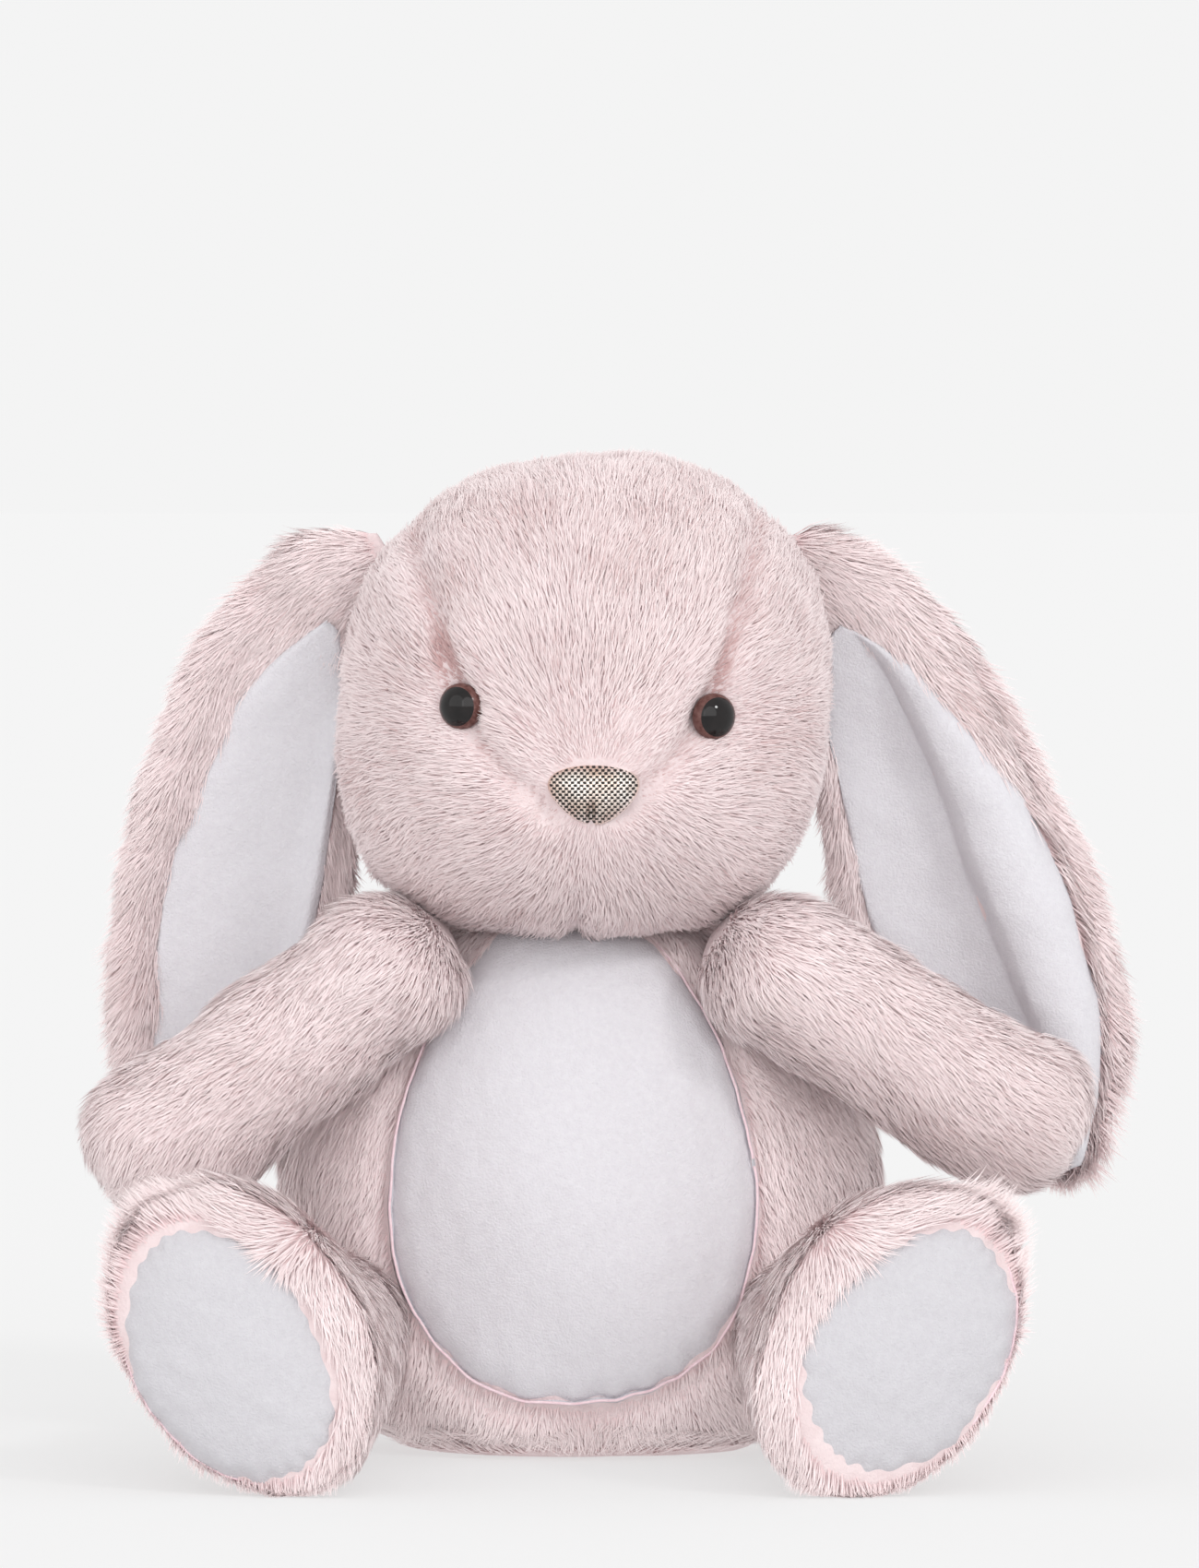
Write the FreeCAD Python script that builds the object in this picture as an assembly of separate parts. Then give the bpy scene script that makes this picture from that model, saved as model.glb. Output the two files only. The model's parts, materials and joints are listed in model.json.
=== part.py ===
import FreeCAD, Part
import math
import os

from FreeCAD import Vector

# A sitting lop-eared plush rabbit. Millimetres, +Z up, the face towards -Y.
# The origin is the centre of the flat seat that it rests on.
# "left" and "right" are the sides as seen from the front: left is -X.

# ---- fabric and gaps ----
COVER = 3.0               # plush fabric with its pressed pile
VELOUR = 2.0              # smooth velour of the ear linings
BODY_GAP = 0.7            # gap between two bodies that move against each other
TRAVEL_GAP = 1.0          # the same, where a part is cleared only at the ends of its travel
SOCKET_GAP = 1.3          # round the ball of a shoulder or a hip
RING_POINTS = 12          # points of each closed section curve

# ---- head: an egg-like ball, squarer below its middle ----
HEAD_CENTRE = Vector(1, -10, 184)
HEAD_HALF_WIDTH = 58.5
HEAD_HALF_DEPTH = 53.0
HEAD_HALF_HEIGHT = 55.0
CROWN_SQUARENESS = 2.0
CHEEK_SQUARENESS = 2.8
NECK_PIVOT = Vector(0, -6, 128)
NOD_BACK = -6             # degrees
NOD_FORWARD = 8

# ---- body: a pear with a flat seat ----
BODY_MIDDLE = 58.0        # height of the widest section
BODY_TOP = 139.0
BODY_BOTTOM = -8.0        # where the pear would end if the seat didn't cut it flat
BODY_HALF_WIDTH = 69.0
BODY_HALF_DEPTH = 50.0
BODY_SQUARENESS = 2.6
TUMMY_CENTRE = Vector(-2, 0, 74)
TUMMY_HALF_WIDTH = 46.0
TUMMY_HALF_HEIGHT = 61.0
TUMMY_EGG = 0.2           # how far the panel's widest place sits below its middle
SEAT_PANEL_HALF = (40.0, 28.0)
BEAN_BAG_CENTRE = Vector(0, 0, 20)
BEAN_BAG_HALF = (38.0, 27.0, 11.0)
TAIL_CENTRE = Vector(0, 60, 31)
TAIL_RADIUS = 18.0

# ---- arms: round, blunt, from the shoulder to the middle of the hand ----
SHOULDER = Vector(48, -34, 119)
HAND = {"left": Vector(102, -44, 76), "right": Vector(106, -44, 85)}
SHOULDER_RADIUS = 18.0
ARM_RADIUS = 17.5
HAND_RADIUS = 18.5
HAND_DOME = 14.0
ARM_LIFT = 40             # degrees

# ---- legs: a tube from the hip that flares into an oval foot ----
HIP = {"left": Vector(66, -30, 29), "right": Vector(61, -30, 29)}
LEG_YAW = {"left": 10.0, "right": 9.0}       # outward from straight ahead, degrees
FOOT_ROLL = 33.0                              # the toes lean outward, degrees
HIP_RADIUS = 23.0
FOOT_HALF_WIDTH = 28.5
FOOT_HALF_LENGTH = 37.5
FOOT_CENTRE_HEIGHT = 36.2
LEG_LENGTH = 70.0                             # hip to the rim of the sole
SOLE_DOME = 7.0           # how far the middle of the sole stands beyond its rim
SOLE_CURVE = 110.0        # radius of the domed sole
# places along the leg, how far the tube has become a foot there, and the rounding of the rim
LEG_STATIONS = [(0, 0, 1), (0.3, 0.02, 1), (0.6, 0.3, 1), (0.82, 0.93, 1), (0.96, 1, 1), (1.12, 1, 0.9)]
SOLE_PAD_HALF = (23.5, 32.0)
LEG_LIFT = 20             # degrees

# ---- ears: a flattened leaf along a midline, hinged at the side of the head ----
EAR_ROOT = Vector(46, 1, 212)
EAR_HALF_THICKNESS = 5.5
EAR_RIM = 7.0             # plush that shows round the lining
EAR_LIFT = 45             # degrees
# midline places as X outward and Z, then the half width there
EAR_MIDLINE = {
    "left": [(44, 214, 8), (60, 203, 14), (74, 184, 19), (81, 161, 23), (85, 137, 25),
             (88, 114, 23), (92, 94, 18), (97, 79, 10)],
    "right": [(44, 214, 8), (61, 204, 15), (77, 186, 21), (87, 162, 26), (94, 138, 29),
              (102, 114, 27), (110, 94, 21), (116, 78, 12)],
}

# ---- face ----
EYE_PLACE = {"left": (-29.5, 184.0), "right": (32.5, 181.5)}      # X and Z
EYE_RADIUS = 5.6
EYE_SINK = 1.2            # how far the dome sits in the fabric
SHANK_RADIUS = 1.7
SHANK_LENGTH = 12.0
WASHER_RADIUS = 5.5
WASHER_THICKNESS = 1.5
WASHER_DEPTH = 5.5        # from the dome's base
NOSE_CENTRE = Vector(3, 0, 164)
NOSE_HALF = (11.0, 7.2)
NOSE_DEPTH = 5.0
NOSE_COVER = 1.0
# the forehead gusset's edge, from the crown down to the nose: X outward and Z
GUSSET_EDGE = [(46, 245), (40, 219), (34, 200), (28, 182), (19, 169), (8, 160)]

SIDES = {"left": -1, "right": 1}
FAR = 400.0               # beyond the toy in every direction
UP = Vector(0, 0, 1)
X_AXIS = Vector(1, 0, 0)
Y_AXIS = Vector(0, 1, 0)

nodes = {}


def on_side(point, sign):
    """A point given for the right side, on the side that sign names."""
    return Vector(point.x * sign, point.y, point.z)


def ring(centre, across, along, half_across, half_along):
    """A smooth closed curve round centre with the given half sizes."""
    points = []
    for step in range(RING_POINTS):
        angle = 2 * math.pi * step / RING_POINTS
        offset = across * (half_across * math.cos(angle)) + along * (half_along * math.sin(angle))
        points.append(centre + offset)
    curve = Part.BSplineCurve()
    curve.interpolate(Points=points, PeriodicFlag=True)
    return Part.Wire(curve.toShape())


def loft(rings):
    """A solid skinned over closed curves, with flat ends."""
    solid = Part.makeLoft(rings, True)
    if solid.Volume < 0:
        solid.reverse()
    return solid


def half_space(point, normal):
    """A large block that fills everything beyond a plane, on the normal's side."""
    block = Part.makeBox(2 * FAR, 2 * FAR, FAR, Vector(-FAR, -FAR, 0))
    block.Placement = FreeCAD.Placement(point, FreeCAD.Rotation(UP, normal))
    return block


def turned(shape, centre, axis, degrees):
    """A copy of a shape turned about an axis through centre."""
    copy = shape.copy()
    copy.rotate(centre, axis, degrees)
    return copy


def prism(points, low, high):
    """The closed spline through (X, Z) points, as a solid from Y = low to Y = high."""
    curve = Part.BSplineCurve()
    curve.interpolate(Points=[Vector(x, low, z) for x, z in points], PeriodicFlag=True)
    face = Part.Face(Part.Wire(curve.toShape()))
    return face.extrude(Vector(0, high - low, 0))


def dome_angles(count):
    """Angles from the rim of a dome, at 0, towards its pole."""
    return [math.radians(78) * step / count for step in range(1, count + 1)]


def head_solid(extra=0.0):
    """The head, extra millimetres larger all round."""
    rings = []
    for degrees in range(-78, 79, 13):
        level = math.sin(math.radians(degrees))
        power = CROWN_SQUARENESS if level > 0 else CHEEK_SQUARENESS
        width = (1 - abs(level) ** power) ** (1 / power)
        centre = HEAD_CENTRE + UP * (level * (HEAD_HALF_HEIGHT + extra))
        rings.append(ring(centre, X_AXIS, Y_AXIS,
                          width * (HEAD_HALF_WIDTH + extra), width * (HEAD_HALF_DEPTH + extra)))
    return loft(rings)


def body_solid(extra=0.0, seat=0.0):
    """The body, extra millimetres larger all round and cut flat at the seat's height."""
    rings = []
    for degrees in range(-78, 79, 13):
        level = math.sin(math.radians(degrees))
        reach = (BODY_TOP if level > 0 else 2 * BODY_MIDDLE - BODY_BOTTOM) - BODY_MIDDLE + extra
        power = 2.0 if level > 0 else BODY_SQUARENESS
        width = (1 - abs(level) ** power) ** (1 / power)
        rings.append(ring(Vector(0, 0, BODY_MIDDLE + level * reach), X_AXIS, Y_AXIS,
                          width * (BODY_HALF_WIDTH + extra), width * (BODY_HALF_DEPTH + extra)))
    return loft(rings).cut(half_space(Vector(0, 0, seat), UP * -1))


def arm_solid(side, extra=0.0):
    """An arm with a ball at the shoulder and a blunt round hand."""
    start = on_side(SHOULDER, SIDES[side])
    end = on_side(HAND[side], SIDES[side])
    length = (end - start).Length
    direction = (end - start).normalize()
    across = Y_AXIS.cross(direction).normalize()
    along = direction.cross(across)
    ball = SHOULDER_RADIUS + extra
    palm = HAND_RADIUS + extra
    stations = [(-ball * math.sin(a), ball * math.cos(a)) for a in reversed(dome_angles(4))]
    stations += [(0, ball), (0.4 * length, ARM_RADIUS + extra), (0.75 * length, ARM_RADIUS + extra + 0.7),
                 (length, palm)]
    stations += [(length + (HAND_DOME + extra) * math.sin(a), palm * math.cos(a)) for a in dome_angles(4)]
    return loft([ring(start + direction * t, across, along, r, r) for t, r in stations])


def leg_frame(side):
    """The hip, the direction to the sole, and the foot's width and length directions."""
    sign = SIDES[side]
    yaw = math.radians(LEG_YAW[side])
    direction = Vector(sign * math.sin(yaw), -math.cos(yaw), 0)
    level = UP.cross(direction)
    roll = -math.radians(FOOT_ROLL) * sign
    across = level * math.cos(roll) + UP * math.sin(roll)
    along = direction.cross(across)
    return on_side(HIP[side], sign), direction, across, along


def leg_solid(side, extra=0.0):
    """A leg with a ball at the hip, which flares into an oval foot with a domed sole."""
    hip, direction, across, along = leg_frame(side)
    ball = HIP_RADIUS + extra
    width = FOOT_HALF_WIDTH + extra
    length = FOOT_HALF_LENGTH + extra
    rise = FOOT_CENTRE_HEIGHT - hip.z
    rings = []
    for angle in reversed(dome_angles(4)):
        rings.append(ring(hip - direction * (ball * math.sin(angle)), across, along,
                          ball * math.cos(angle), ball * math.cos(angle)))
    for place, flare, round_off in LEG_STATIONS:
        centre = hip + direction * (place * LEG_LENGTH) + UP * (rise * flare)
        rings.append(ring(centre, across, along,
                          (ball + (width - ball) * flare) * round_off,
                          (ball + (length - ball) * flare) * round_off))
    sole_ball = hip + direction * (LEG_LENGTH + SOLE_DOME - SOLE_CURVE) + UP * rise
    return loft(rings).common(Part.makeSphere(SOLE_CURVE + extra, sole_ball))


def ear_places(side, inset):
    """The ear's midline points with their direction across and their half widths."""
    sign = SIDES[side]
    places = [Vector(sign * x, EAR_ROOT.y, z) for x, z, _ in EAR_MIDLINE[side]]
    found = []
    for index, (_, _, half) in enumerate(EAR_MIDLINE[side]):
        before = places[max(index - 1, 0)]
        after = places[min(index + 1, len(places) - 1)]
        across = (after - before).cross(Y_AXIS).normalize()
        found.append((places[index], across, half - inset))
    return found


def ear_solid(side):
    """A flattened leaf along the ear's midline, with a round tip."""
    places = ear_places(side, 0)
    rings = [ring(centre, across, Y_AXIS, half, EAR_HALF_THICKNESS) for centre, across, half in places]
    centre, across, tip = places[-1]
    direction = Y_AXIS.cross(across)
    for angle in dome_angles(3):
        rings.append(ring(centre + direction * (tip * math.sin(angle)), across, Y_AXIS,
                          tip * math.cos(angle), EAR_HALF_THICKNESS * math.cos(angle)))
    return loft(rings)


def lining_prism(side):
    """The lining's outline, from the plane that it is sewn on to past the ear's front."""
    places = ear_places(side, EAR_RIM)[1:]
    edge = [centre + across * half for centre, across, half in places]
    edge += [centre - across * half for centre, across, half in reversed(places)]
    back = EAR_ROOT.y - EAR_HALF_THICKNESS + VELOUR
    return prism([(point.x, point.z) for point in edge], -FAR, back)


def ellipsoid(centre, half_x, half_y, half_z):
    """A closed ellipsoid-like solid of horizontal rings."""
    rings = []
    for degrees in range(-80, 81, 20):
        width = math.cos(math.radians(degrees))
        height = math.sin(math.radians(degrees)) * half_z
        rings.append(ring(centre + UP * height, X_AXIS, Y_AXIS, width * half_x, width * half_y))
    return loft(rings)


def head_surface(x, z):
    """The head's front surface point at X and Z, and its outward direction there."""
    level = (z - HEAD_CENTRE.z) / HEAD_HALF_HEIGHT
    power = CROWN_SQUARENESS if level > 0 else CHEEK_SQUARENESS
    width = (1 - abs(level) ** power) ** (1 / power)
    sideways = (x - HEAD_CENTRE.x) / (width * HEAD_HALF_WIDTH)
    forward = math.sqrt(1 - sideways ** 2)
    point = Vector(x, HEAD_CENTRE.y - forward * width * HEAD_HALF_DEPTH, z)
    normal = Vector(sideways / HEAD_HALF_WIDTH, -forward / HEAD_HALF_DEPTH, level / HEAD_HALF_HEIGHT)
    return point, normal.normalize()


def eye_and_washer(side):
    """A domed safety eye with its shank, and the lock washer behind the fabric."""
    point, outward = head_surface(*EYE_PLACE[side])
    base = EYE_RADIUS * math.sin(math.radians(25))
    dome = Part.makeSphere(EYE_RADIUS, Vector(0, 0, -base), UP, 25, 90, 360)
    shank = Part.makeCylinder(SHANK_RADIUS, SHANK_LENGTH, Vector(0, 0, -SHANK_LENGTH), UP)
    eye = dome.fuse(shank).removeSplitter()
    low = Vector(0, 0, -WASHER_DEPTH - WASHER_THICKNESS)
    washer = Part.makeCylinder(WASHER_RADIUS, WASHER_THICKNESS, low, UP)
    washer = washer.cut(Part.makeCylinder(SHANK_RADIUS, WASHER_THICKNESS, low, UP))
    place = FreeCAD.Placement(point - outward * EYE_SINK, FreeCAD.Rotation(UP, outward))
    eye.Placement = place
    washer.Placement = place
    return eye, washer


def nose_solid(inset=0.0):
    """A soft rounded triangle, wide side up, domed towards the front."""
    front = head_surface(NOSE_CENTRE.x, NOSE_CENTRE.z)[0].y
    rings = []
    for forward, scale in ((-4, 1.0), (0, 1.0), (2, 0.97), (3.7, 0.8), (4.7, 0.5), (5, 0.2)):
        points = []
        for step in range(RING_POINTS):
            angle = 2 * math.pi * step / RING_POINTS
            taper = 1 + 0.22 * math.sin(angle)
            x = (NOSE_HALF[0] - inset) * scale * math.cos(angle) * taper
            z = (NOSE_HALF[1] - inset) * scale * math.sin(angle)
            y = front - forward * (NOSE_DEPTH - inset) / NOSE_DEPTH
            points.append(Vector(NOSE_CENTRE.x + x, y, NOSE_CENTRE.z + z))
        curve = Part.BSplineCurve()
        curve.interpolate(Points=points, PeriodicFlag=True)
        rings.append(Part.Wire(curve.toShape()))
    return loft(rings)


def gusset_prism():
    """The forehead gusset's outline, through the front of the head."""
    right = [(HEAD_CENTRE.x + x, z) for x, z in GUSSET_EDGE]
    left = [(HEAD_CENTRE.x - x, z) for x, z in reversed(GUSSET_EDGE)]
    return prism(right + left, -FAR, HEAD_CENTRE.y)


def tummy_prism():
    """The tummy panel's egg outline, through the front of the body."""
    points = []
    for step in range(RING_POINTS):
        angle = 2 * math.pi * step / RING_POINTS
        x = TUMMY_HALF_WIDTH * math.cos(angle) * (1 - TUMMY_EGG * math.sin(angle))
        points.append((TUMMY_CENTRE.x + x, TUMMY_CENTRE.z + TUMMY_HALF_HEIGHT * math.sin(angle)))
    return prism(points, -FAR, 0)


def make_head():
    """Face panels, gusset and back panels over the stuffing, with the eyes and the nose."""
    outer = head_solid()
    stuffing = head_solid(-COVER)
    cover = outer.cut(stuffing)
    nose = nose_solid().cut(outer)
    padding = nose_solid(NOSE_COVER).cut(outer)
    nodes["nose_cover"] = nose.cut(padding)
    nodes["nose_padding"] = padding
    for side in SIDES:
        eye, washer = eye_and_washer(side)
        cover = cover.cut(eye)
        stuffing = stuffing.cut([eye, washer])
        nodes["eye_" + side] = eye
        nodes["eye_washer_" + side] = washer
    nodes["head_stuffing"] = stuffing
    front = half_space(HEAD_CENTRE, Y_AXIS * -1)
    face = cover.common(front)
    back = cover.cut(front)
    gusset = gusset_prism()
    nodes["head_forehead_gusset"] = face.common(gusset)
    face = face.cut(gusset)
    for side, sign in SIDES.items():
        half = half_space(Vector(HEAD_CENTRE.x, 0, 0), X_AXIS * sign)
        nodes["head_face_panel_" + side] = face.common(half)
        nodes["head_back_panel_" + side] = back.common(half)


def body_hollows():
    """Room in the body for the head, the arms and the legs over their whole travel."""
    hollows = []
    head = head_solid(TRAVEL_GAP)
    for angle in (NOD_BACK, NOD_FORWARD):
        hollows.append(turned(head, NECK_PIVOT, X_AXIS, angle))
    for side, sign in SIDES.items():
        shoulder = on_side(SHOULDER, sign)
        hollows.append(Part.makeSphere(SHOULDER_RADIUS + SOCKET_GAP, shoulder))
        arm = arm_solid(side, BODY_GAP)
        hollows.append(arm)
        hollows.append(turned(arm, shoulder, Y_AXIS, sign * -ARM_LIFT))
        hip, direction, _, _ = leg_frame(side)
        hollows.append(Part.makeSphere(HIP_RADIUS + SOCKET_GAP, hip))
        leg = leg_solid(side, TRAVEL_GAP)
        hollows.append(leg)
        hollows.append(turned(leg, hip, direction.cross(UP), LEG_LIFT))
    return hollows


def make_body():
    """Side, back, tummy and seat panels over the stuffing and its bag of pellets."""
    hollows = body_hollows()
    outer = body_solid()
    inner = body_solid(-COVER, COVER)
    bag = ellipsoid(BEAN_BAG_CENTRE, *BEAN_BAG_HALF)
    for hollow in hollows:
        bag = bag.cut(hollow)
    cover = outer.cut(inner)
    stuffing = inner
    for hollow in hollows:
        cover = cover.cut(hollow)
        stuffing = stuffing.cut(hollow)
    nodes["seat_bean_bag"] = bag
    nodes["body_stuffing"] = stuffing.cut(bag)
    seat_edge = ring(Vector(0, 0, -1), X_AXIS, Y_AXIS, *SEAT_PANEL_HALF)
    seat = Part.Face(seat_edge).extrude(UP * (COVER + 1))
    nodes["seat_panel"] = cover.common(seat)
    cover = cover.cut(seat)
    tummy = tummy_prism()
    nodes["tummy_panel"] = cover.common(tummy)
    cover = cover.cut(tummy)
    front = half_space(Vector(0, 4, 0), Y_AXIS * -1)
    for side, sign in SIDES.items():
        half = cover.common(half_space(Vector(0, 0, 0), X_AXIS * sign))
        nodes["body_side_panel_" + side] = half.common(front)
        nodes["body_back_panel_" + side] = half.cut(front)
    make_tail(outer)


def make_tail(body):
    """A round tail sewn to the body's back."""
    outer = ellipsoid(TAIL_CENTRE, TAIL_RADIUS, TAIL_RADIUS, TAIL_RADIUS).cut(body)
    inner = ellipsoid(TAIL_CENTRE, *[TAIL_RADIUS - COVER] * 3).cut(body)
    nodes["tail_cover"] = outer.cut(inner)
    nodes["tail_stuffing"] = inner


def make_arm(side):
    """A front and a back panel over the arm's stuffing."""
    sign = SIDES[side]
    shoulder = on_side(SHOULDER, sign)
    stuffing = arm_solid(side, -COVER)
    cover = arm_solid(side).cut(stuffing)
    across = (on_side(HAND[side], sign) - shoulder).cross(UP)
    if across.y > 0:
        across = across * -1
    front = half_space(shoulder, across)
    nodes["arm_front_panel_" + side] = cover.common(front)
    nodes["arm_back_panel_" + side] = cover.cut(front)
    nodes["arm_stuffing_" + side] = stuffing


def make_leg(side):
    """An inner and an outer panel and the sole pad over the leg's stuffing."""
    hip, direction, across, along = leg_frame(side)
    stuffing = leg_solid(side, -COVER)
    cover = leg_solid(side).cut(stuffing)
    rise = UP * (FOOT_CENTRE_HEIGHT - hip.z)
    pad_centre = hip + direction * (LEG_LENGTH - COVER) + rise
    pad_edge = Part.Ellipse(pad_centre + along * SOLE_PAD_HALF[1], pad_centre + across * SOLE_PAD_HALF[0],
                            pad_centre)
    punch = Part.Face(Part.Wire(pad_edge.toShape())).extrude(direction * FAR)
    nodes["foot_pad_" + side] = cover.common(punch)
    cover = cover.cut(punch)
    outward = half_space(hip, across)
    if across.x * SIDES[side] < 0:
        outward = half_space(hip, across * -1)
    nodes["leg_outer_panel_" + side] = cover.common(outward)
    nodes["leg_inner_panel_" + side] = cover.cut(outward)
    nodes["leg_stuffing_" + side] = stuffing


def make_ear(side):
    """A velour lining set into the plush back, whose edge shows round it."""
    sign = SIDES[side]
    head = head_solid(BODY_GAP)
    root = on_side(EAR_ROOT, sign)
    head_places = [turned(head, root, Y_AXIS, sign * angle) for angle in (0, EAR_LIFT / 2, EAR_LIFT)]
    whole = ear_solid(side)
    outline = lining_prism(side)
    lining = whole.common(outline)
    back = whole.cut(outline)
    for place in head_places:
        lining = lining.cut(place)
        back = back.cut(place)
    nodes["ear_lining_" + side] = lining
    nodes["ear_back_" + side] = back


make_head()
make_body()
for name in SIDES:
    make_arm(name)
    make_leg(name)
    make_ear(name)

os.makedirs("parts", exist_ok=True)
for name, shape in nodes.items():
    shape.exportStep("parts/" + name + ".step")
    print(name, len(shape.Solids), shape.isValid(), round(shape.Volume, 1))
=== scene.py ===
import json
import math

import bpy
import numpy as np
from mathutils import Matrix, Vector
from mathutils.kdtree import KDTree


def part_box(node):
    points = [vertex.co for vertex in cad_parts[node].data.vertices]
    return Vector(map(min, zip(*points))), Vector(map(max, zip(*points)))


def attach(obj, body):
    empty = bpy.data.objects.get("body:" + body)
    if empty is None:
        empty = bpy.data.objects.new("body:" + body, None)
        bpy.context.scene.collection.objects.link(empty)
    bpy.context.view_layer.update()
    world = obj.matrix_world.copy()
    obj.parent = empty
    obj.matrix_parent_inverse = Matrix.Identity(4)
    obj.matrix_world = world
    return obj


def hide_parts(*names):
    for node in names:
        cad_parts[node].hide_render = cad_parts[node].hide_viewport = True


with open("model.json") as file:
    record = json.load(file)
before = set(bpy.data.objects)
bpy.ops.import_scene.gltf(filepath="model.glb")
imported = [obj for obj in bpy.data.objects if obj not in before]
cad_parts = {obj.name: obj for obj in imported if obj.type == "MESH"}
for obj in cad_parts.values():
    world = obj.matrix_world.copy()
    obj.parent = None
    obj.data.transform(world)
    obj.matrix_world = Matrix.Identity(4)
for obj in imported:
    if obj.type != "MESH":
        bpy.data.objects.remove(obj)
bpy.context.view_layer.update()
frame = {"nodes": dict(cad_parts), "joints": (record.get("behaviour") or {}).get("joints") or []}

# Shapes are worked out in millimetres, with the frame's axes, and become metres in new_mesh.
MM = 0.001
UP = np.array([0.0, 0.0, 1.0])
FORWARD = np.array([0.0, -1.0, 0.0])
SIDES = {"left": -1, "right": 1}

# ---- shape ----
CAD_EGG_END = 78.0       # degrees from the middle at which the CAD's head panels stop
CROWN_SQUARENESS = 2.35
CROWN_LOFT = 3.5         # how much higher the stuffing pushes the crown than the plain egg
HEAD_LEAN = 0.045        # sideways shift of the head's stuffing for each unit of height
CHEEK_SQUARENESS = 2.8
EGG_RINGS, EGG_AROUND = 110, 170
BODY_MIDDLE = 58.0
BODY_UP = 81.0
BODY_DOWN = 66.0
BODY_SQUARENESS = 2.6
FLOOR_GAP = 0.5          # no skin reaches lower than this
ARM_RADIUS = 18.0
ARM_WAIST = 17.5
HAND_RADIUS = 18.5
HAND_DOME = 14.0
ARM_AROUND = 96
ROOT_SINK = 15.0         # how far the arm's round end is set back into the body
HIP_RADIUS = 23.0
FOOT_HALF = (28.5, 37.5)
FOOT_ROLL = 33.0
SOLE_PAD_HALF = (24.3, 33.6)
SOLE_PAD_OUT = 3.4       # the pad sits this far towards the foot's outer side
SOLE_CROWN = 6.5
LEG_AROUND = 110
EAR_HALF_THICKNESS = 5.5
# midline places as X outward and Z, then the half width there
EAR_MIDLINE = {
    "left": [(44, 215, 12), (59, 206, 18), (73, 186, 22), (80, 161, 25), (85, 137, 26),
             (89, 114, 24), (93, 94, 19), (97, 79, 10)],
    "right": [(44, 214, 12), (60, 205, 18), (74, 187, 22), (85, 162, 26), (93, 138, 29),
              (103, 114, 27), (111, 94, 21), (116, 78, 12)],
}
# how far the lining reaches towards the ear's outer edge, of the half width, at places along it
LINING_OUT = {
    "left": ([0.15, 0.30, 0.50, 1.0], [0.15, 0.48, 0.66, 0.66]),
    "right": ([0.15, 0.28, 0.45, 1.0], [0.20, 0.52, 0.86, 0.86]),
}
LINING_IN = 0.80         # the same, towards the head
GUSSET_EDGE = [(46, 245), (40, 219), (34, 200), (28, 182), (19, 169), (8, 160)]
EYE_PLACE = {"left": (-29.5, 184.0), "right": (32.5, 181.5)}
EYE_RADIUS = 5.6
EYE_SINK = 1.6
EYE_FLATNESS = 0.72      # the dome's height, of its radius
PUPIL_SHARE = 0.86       # the pupil's radius, of the eye's
NOSE_DOME = 5.2
MESH_PITCH = 1.45        # between the holes of a row in the nose's mesh
MESH_HOLE = 0.50         # radius
TUMMY_CENTRE = (-2.0, 74.0)
TUMMY_HALF = (46.5, 63.0)
TUMMY_EGG = 0.2
TUMMY_TOP = 131.0
VELOUR_THICKNESS = 2.0
LINING_THICKNESS = 1.4
THREAD_RADIUS = 0.35

# ---- fur ----
STRAND_STEPS = np.array([0.0, 0.5, 1.0])      # places along a strand: root, middle, tip
STRAND_WIDTHS = np.array([0.34, 0.32])        # at the root and the middle; the tip is a point
STRAND_PLACES = np.array([0, 0, 0.5, 0.5, 1.0])   # how far along a strand each of its vertices is
STRAND_CORNERS = 7       # of the strand's quad and its triangle together
STRAND_SINK = 0.3        # how far under the skin a strand starts
STRAND_LOWEST = 0.25
CLUMP_PULL = 0.18
CLUMP_SIZE = 10          # strands
USUAL_SHADE = 0.56
STRANDS = {"head_face": 64000, "head_back": 46000, "body_front": 46000, "body_back": 48000,
           "tail": 12000, "arm": 38000, "leg": 58000, "ear": 48000}


def unit(v):
    """Vectors at length 1."""
    return v / np.maximum(np.linalg.norm(v, axis=-1, keepdims=True), 1e-9)


def hill(x, centre, width):
    """A smooth bump of height 1."""
    return np.exp(-((x - centre) / width) ** 2)


def ramp(x, low, high):
    """0 below low, 1 above high, smooth between."""
    t = np.clip((x - low) / (high - low), 0, 1)
    return t * t * (3 - 2 * t)


def waves(points, size, seed):
    """Smooth noise of about -1 to 1, whose lumps are about size across."""
    source = np.random.default_rng(seed)
    total = np.zeros(points.shape[:-1])
    count = 14
    for _ in range(count):
        direction = unit(source.normal(size=3)) * (math.pi / size) * source.uniform(0.6, 1.6)
        total = total + np.sin(points @ direction + source.uniform(0, 2 * math.pi))
    return total / math.sqrt(count)


def smooth_path(table, places):
    """Rows of a table, taken as a smooth curve, at places from 0 to its last row."""
    table = np.asarray(table, float)
    last = len(table) - 1
    low = np.clip(np.floor(places).astype(int), 0, last - 1)
    t = (places - low)[:, None]
    before, start = table[np.maximum(low - 1, 0)], table[low]
    end, after = table[low + 1], table[np.minimum(low + 2, last)]
    return 0.5 * (2 * start + (end - before) * t + (2 * before - 5 * start + 4 * end - after) * t ** 2
                  + (3 * start - before - 3 * end + after) * t ** 3)


def box_of(*names):
    """The lowest and highest corner of some CAD nodes together, in millimetres."""
    boxes = [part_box(name) for name in names]
    low = np.min([np.array(b[0]) for b in boxes], axis=0) / MM
    high = np.max([np.array(b[1]) for b in boxes], axis=0) / MM
    return low, high


def joint_named(name):
    """A joint's place in millimetres and its axis."""
    joint = next(j for j in frame["joints"] if j["name"] == name)
    return np.array(joint["pos_m"], float) / MM, unit(np.array(joint["axis"], float))


# -------- surfaces

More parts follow.
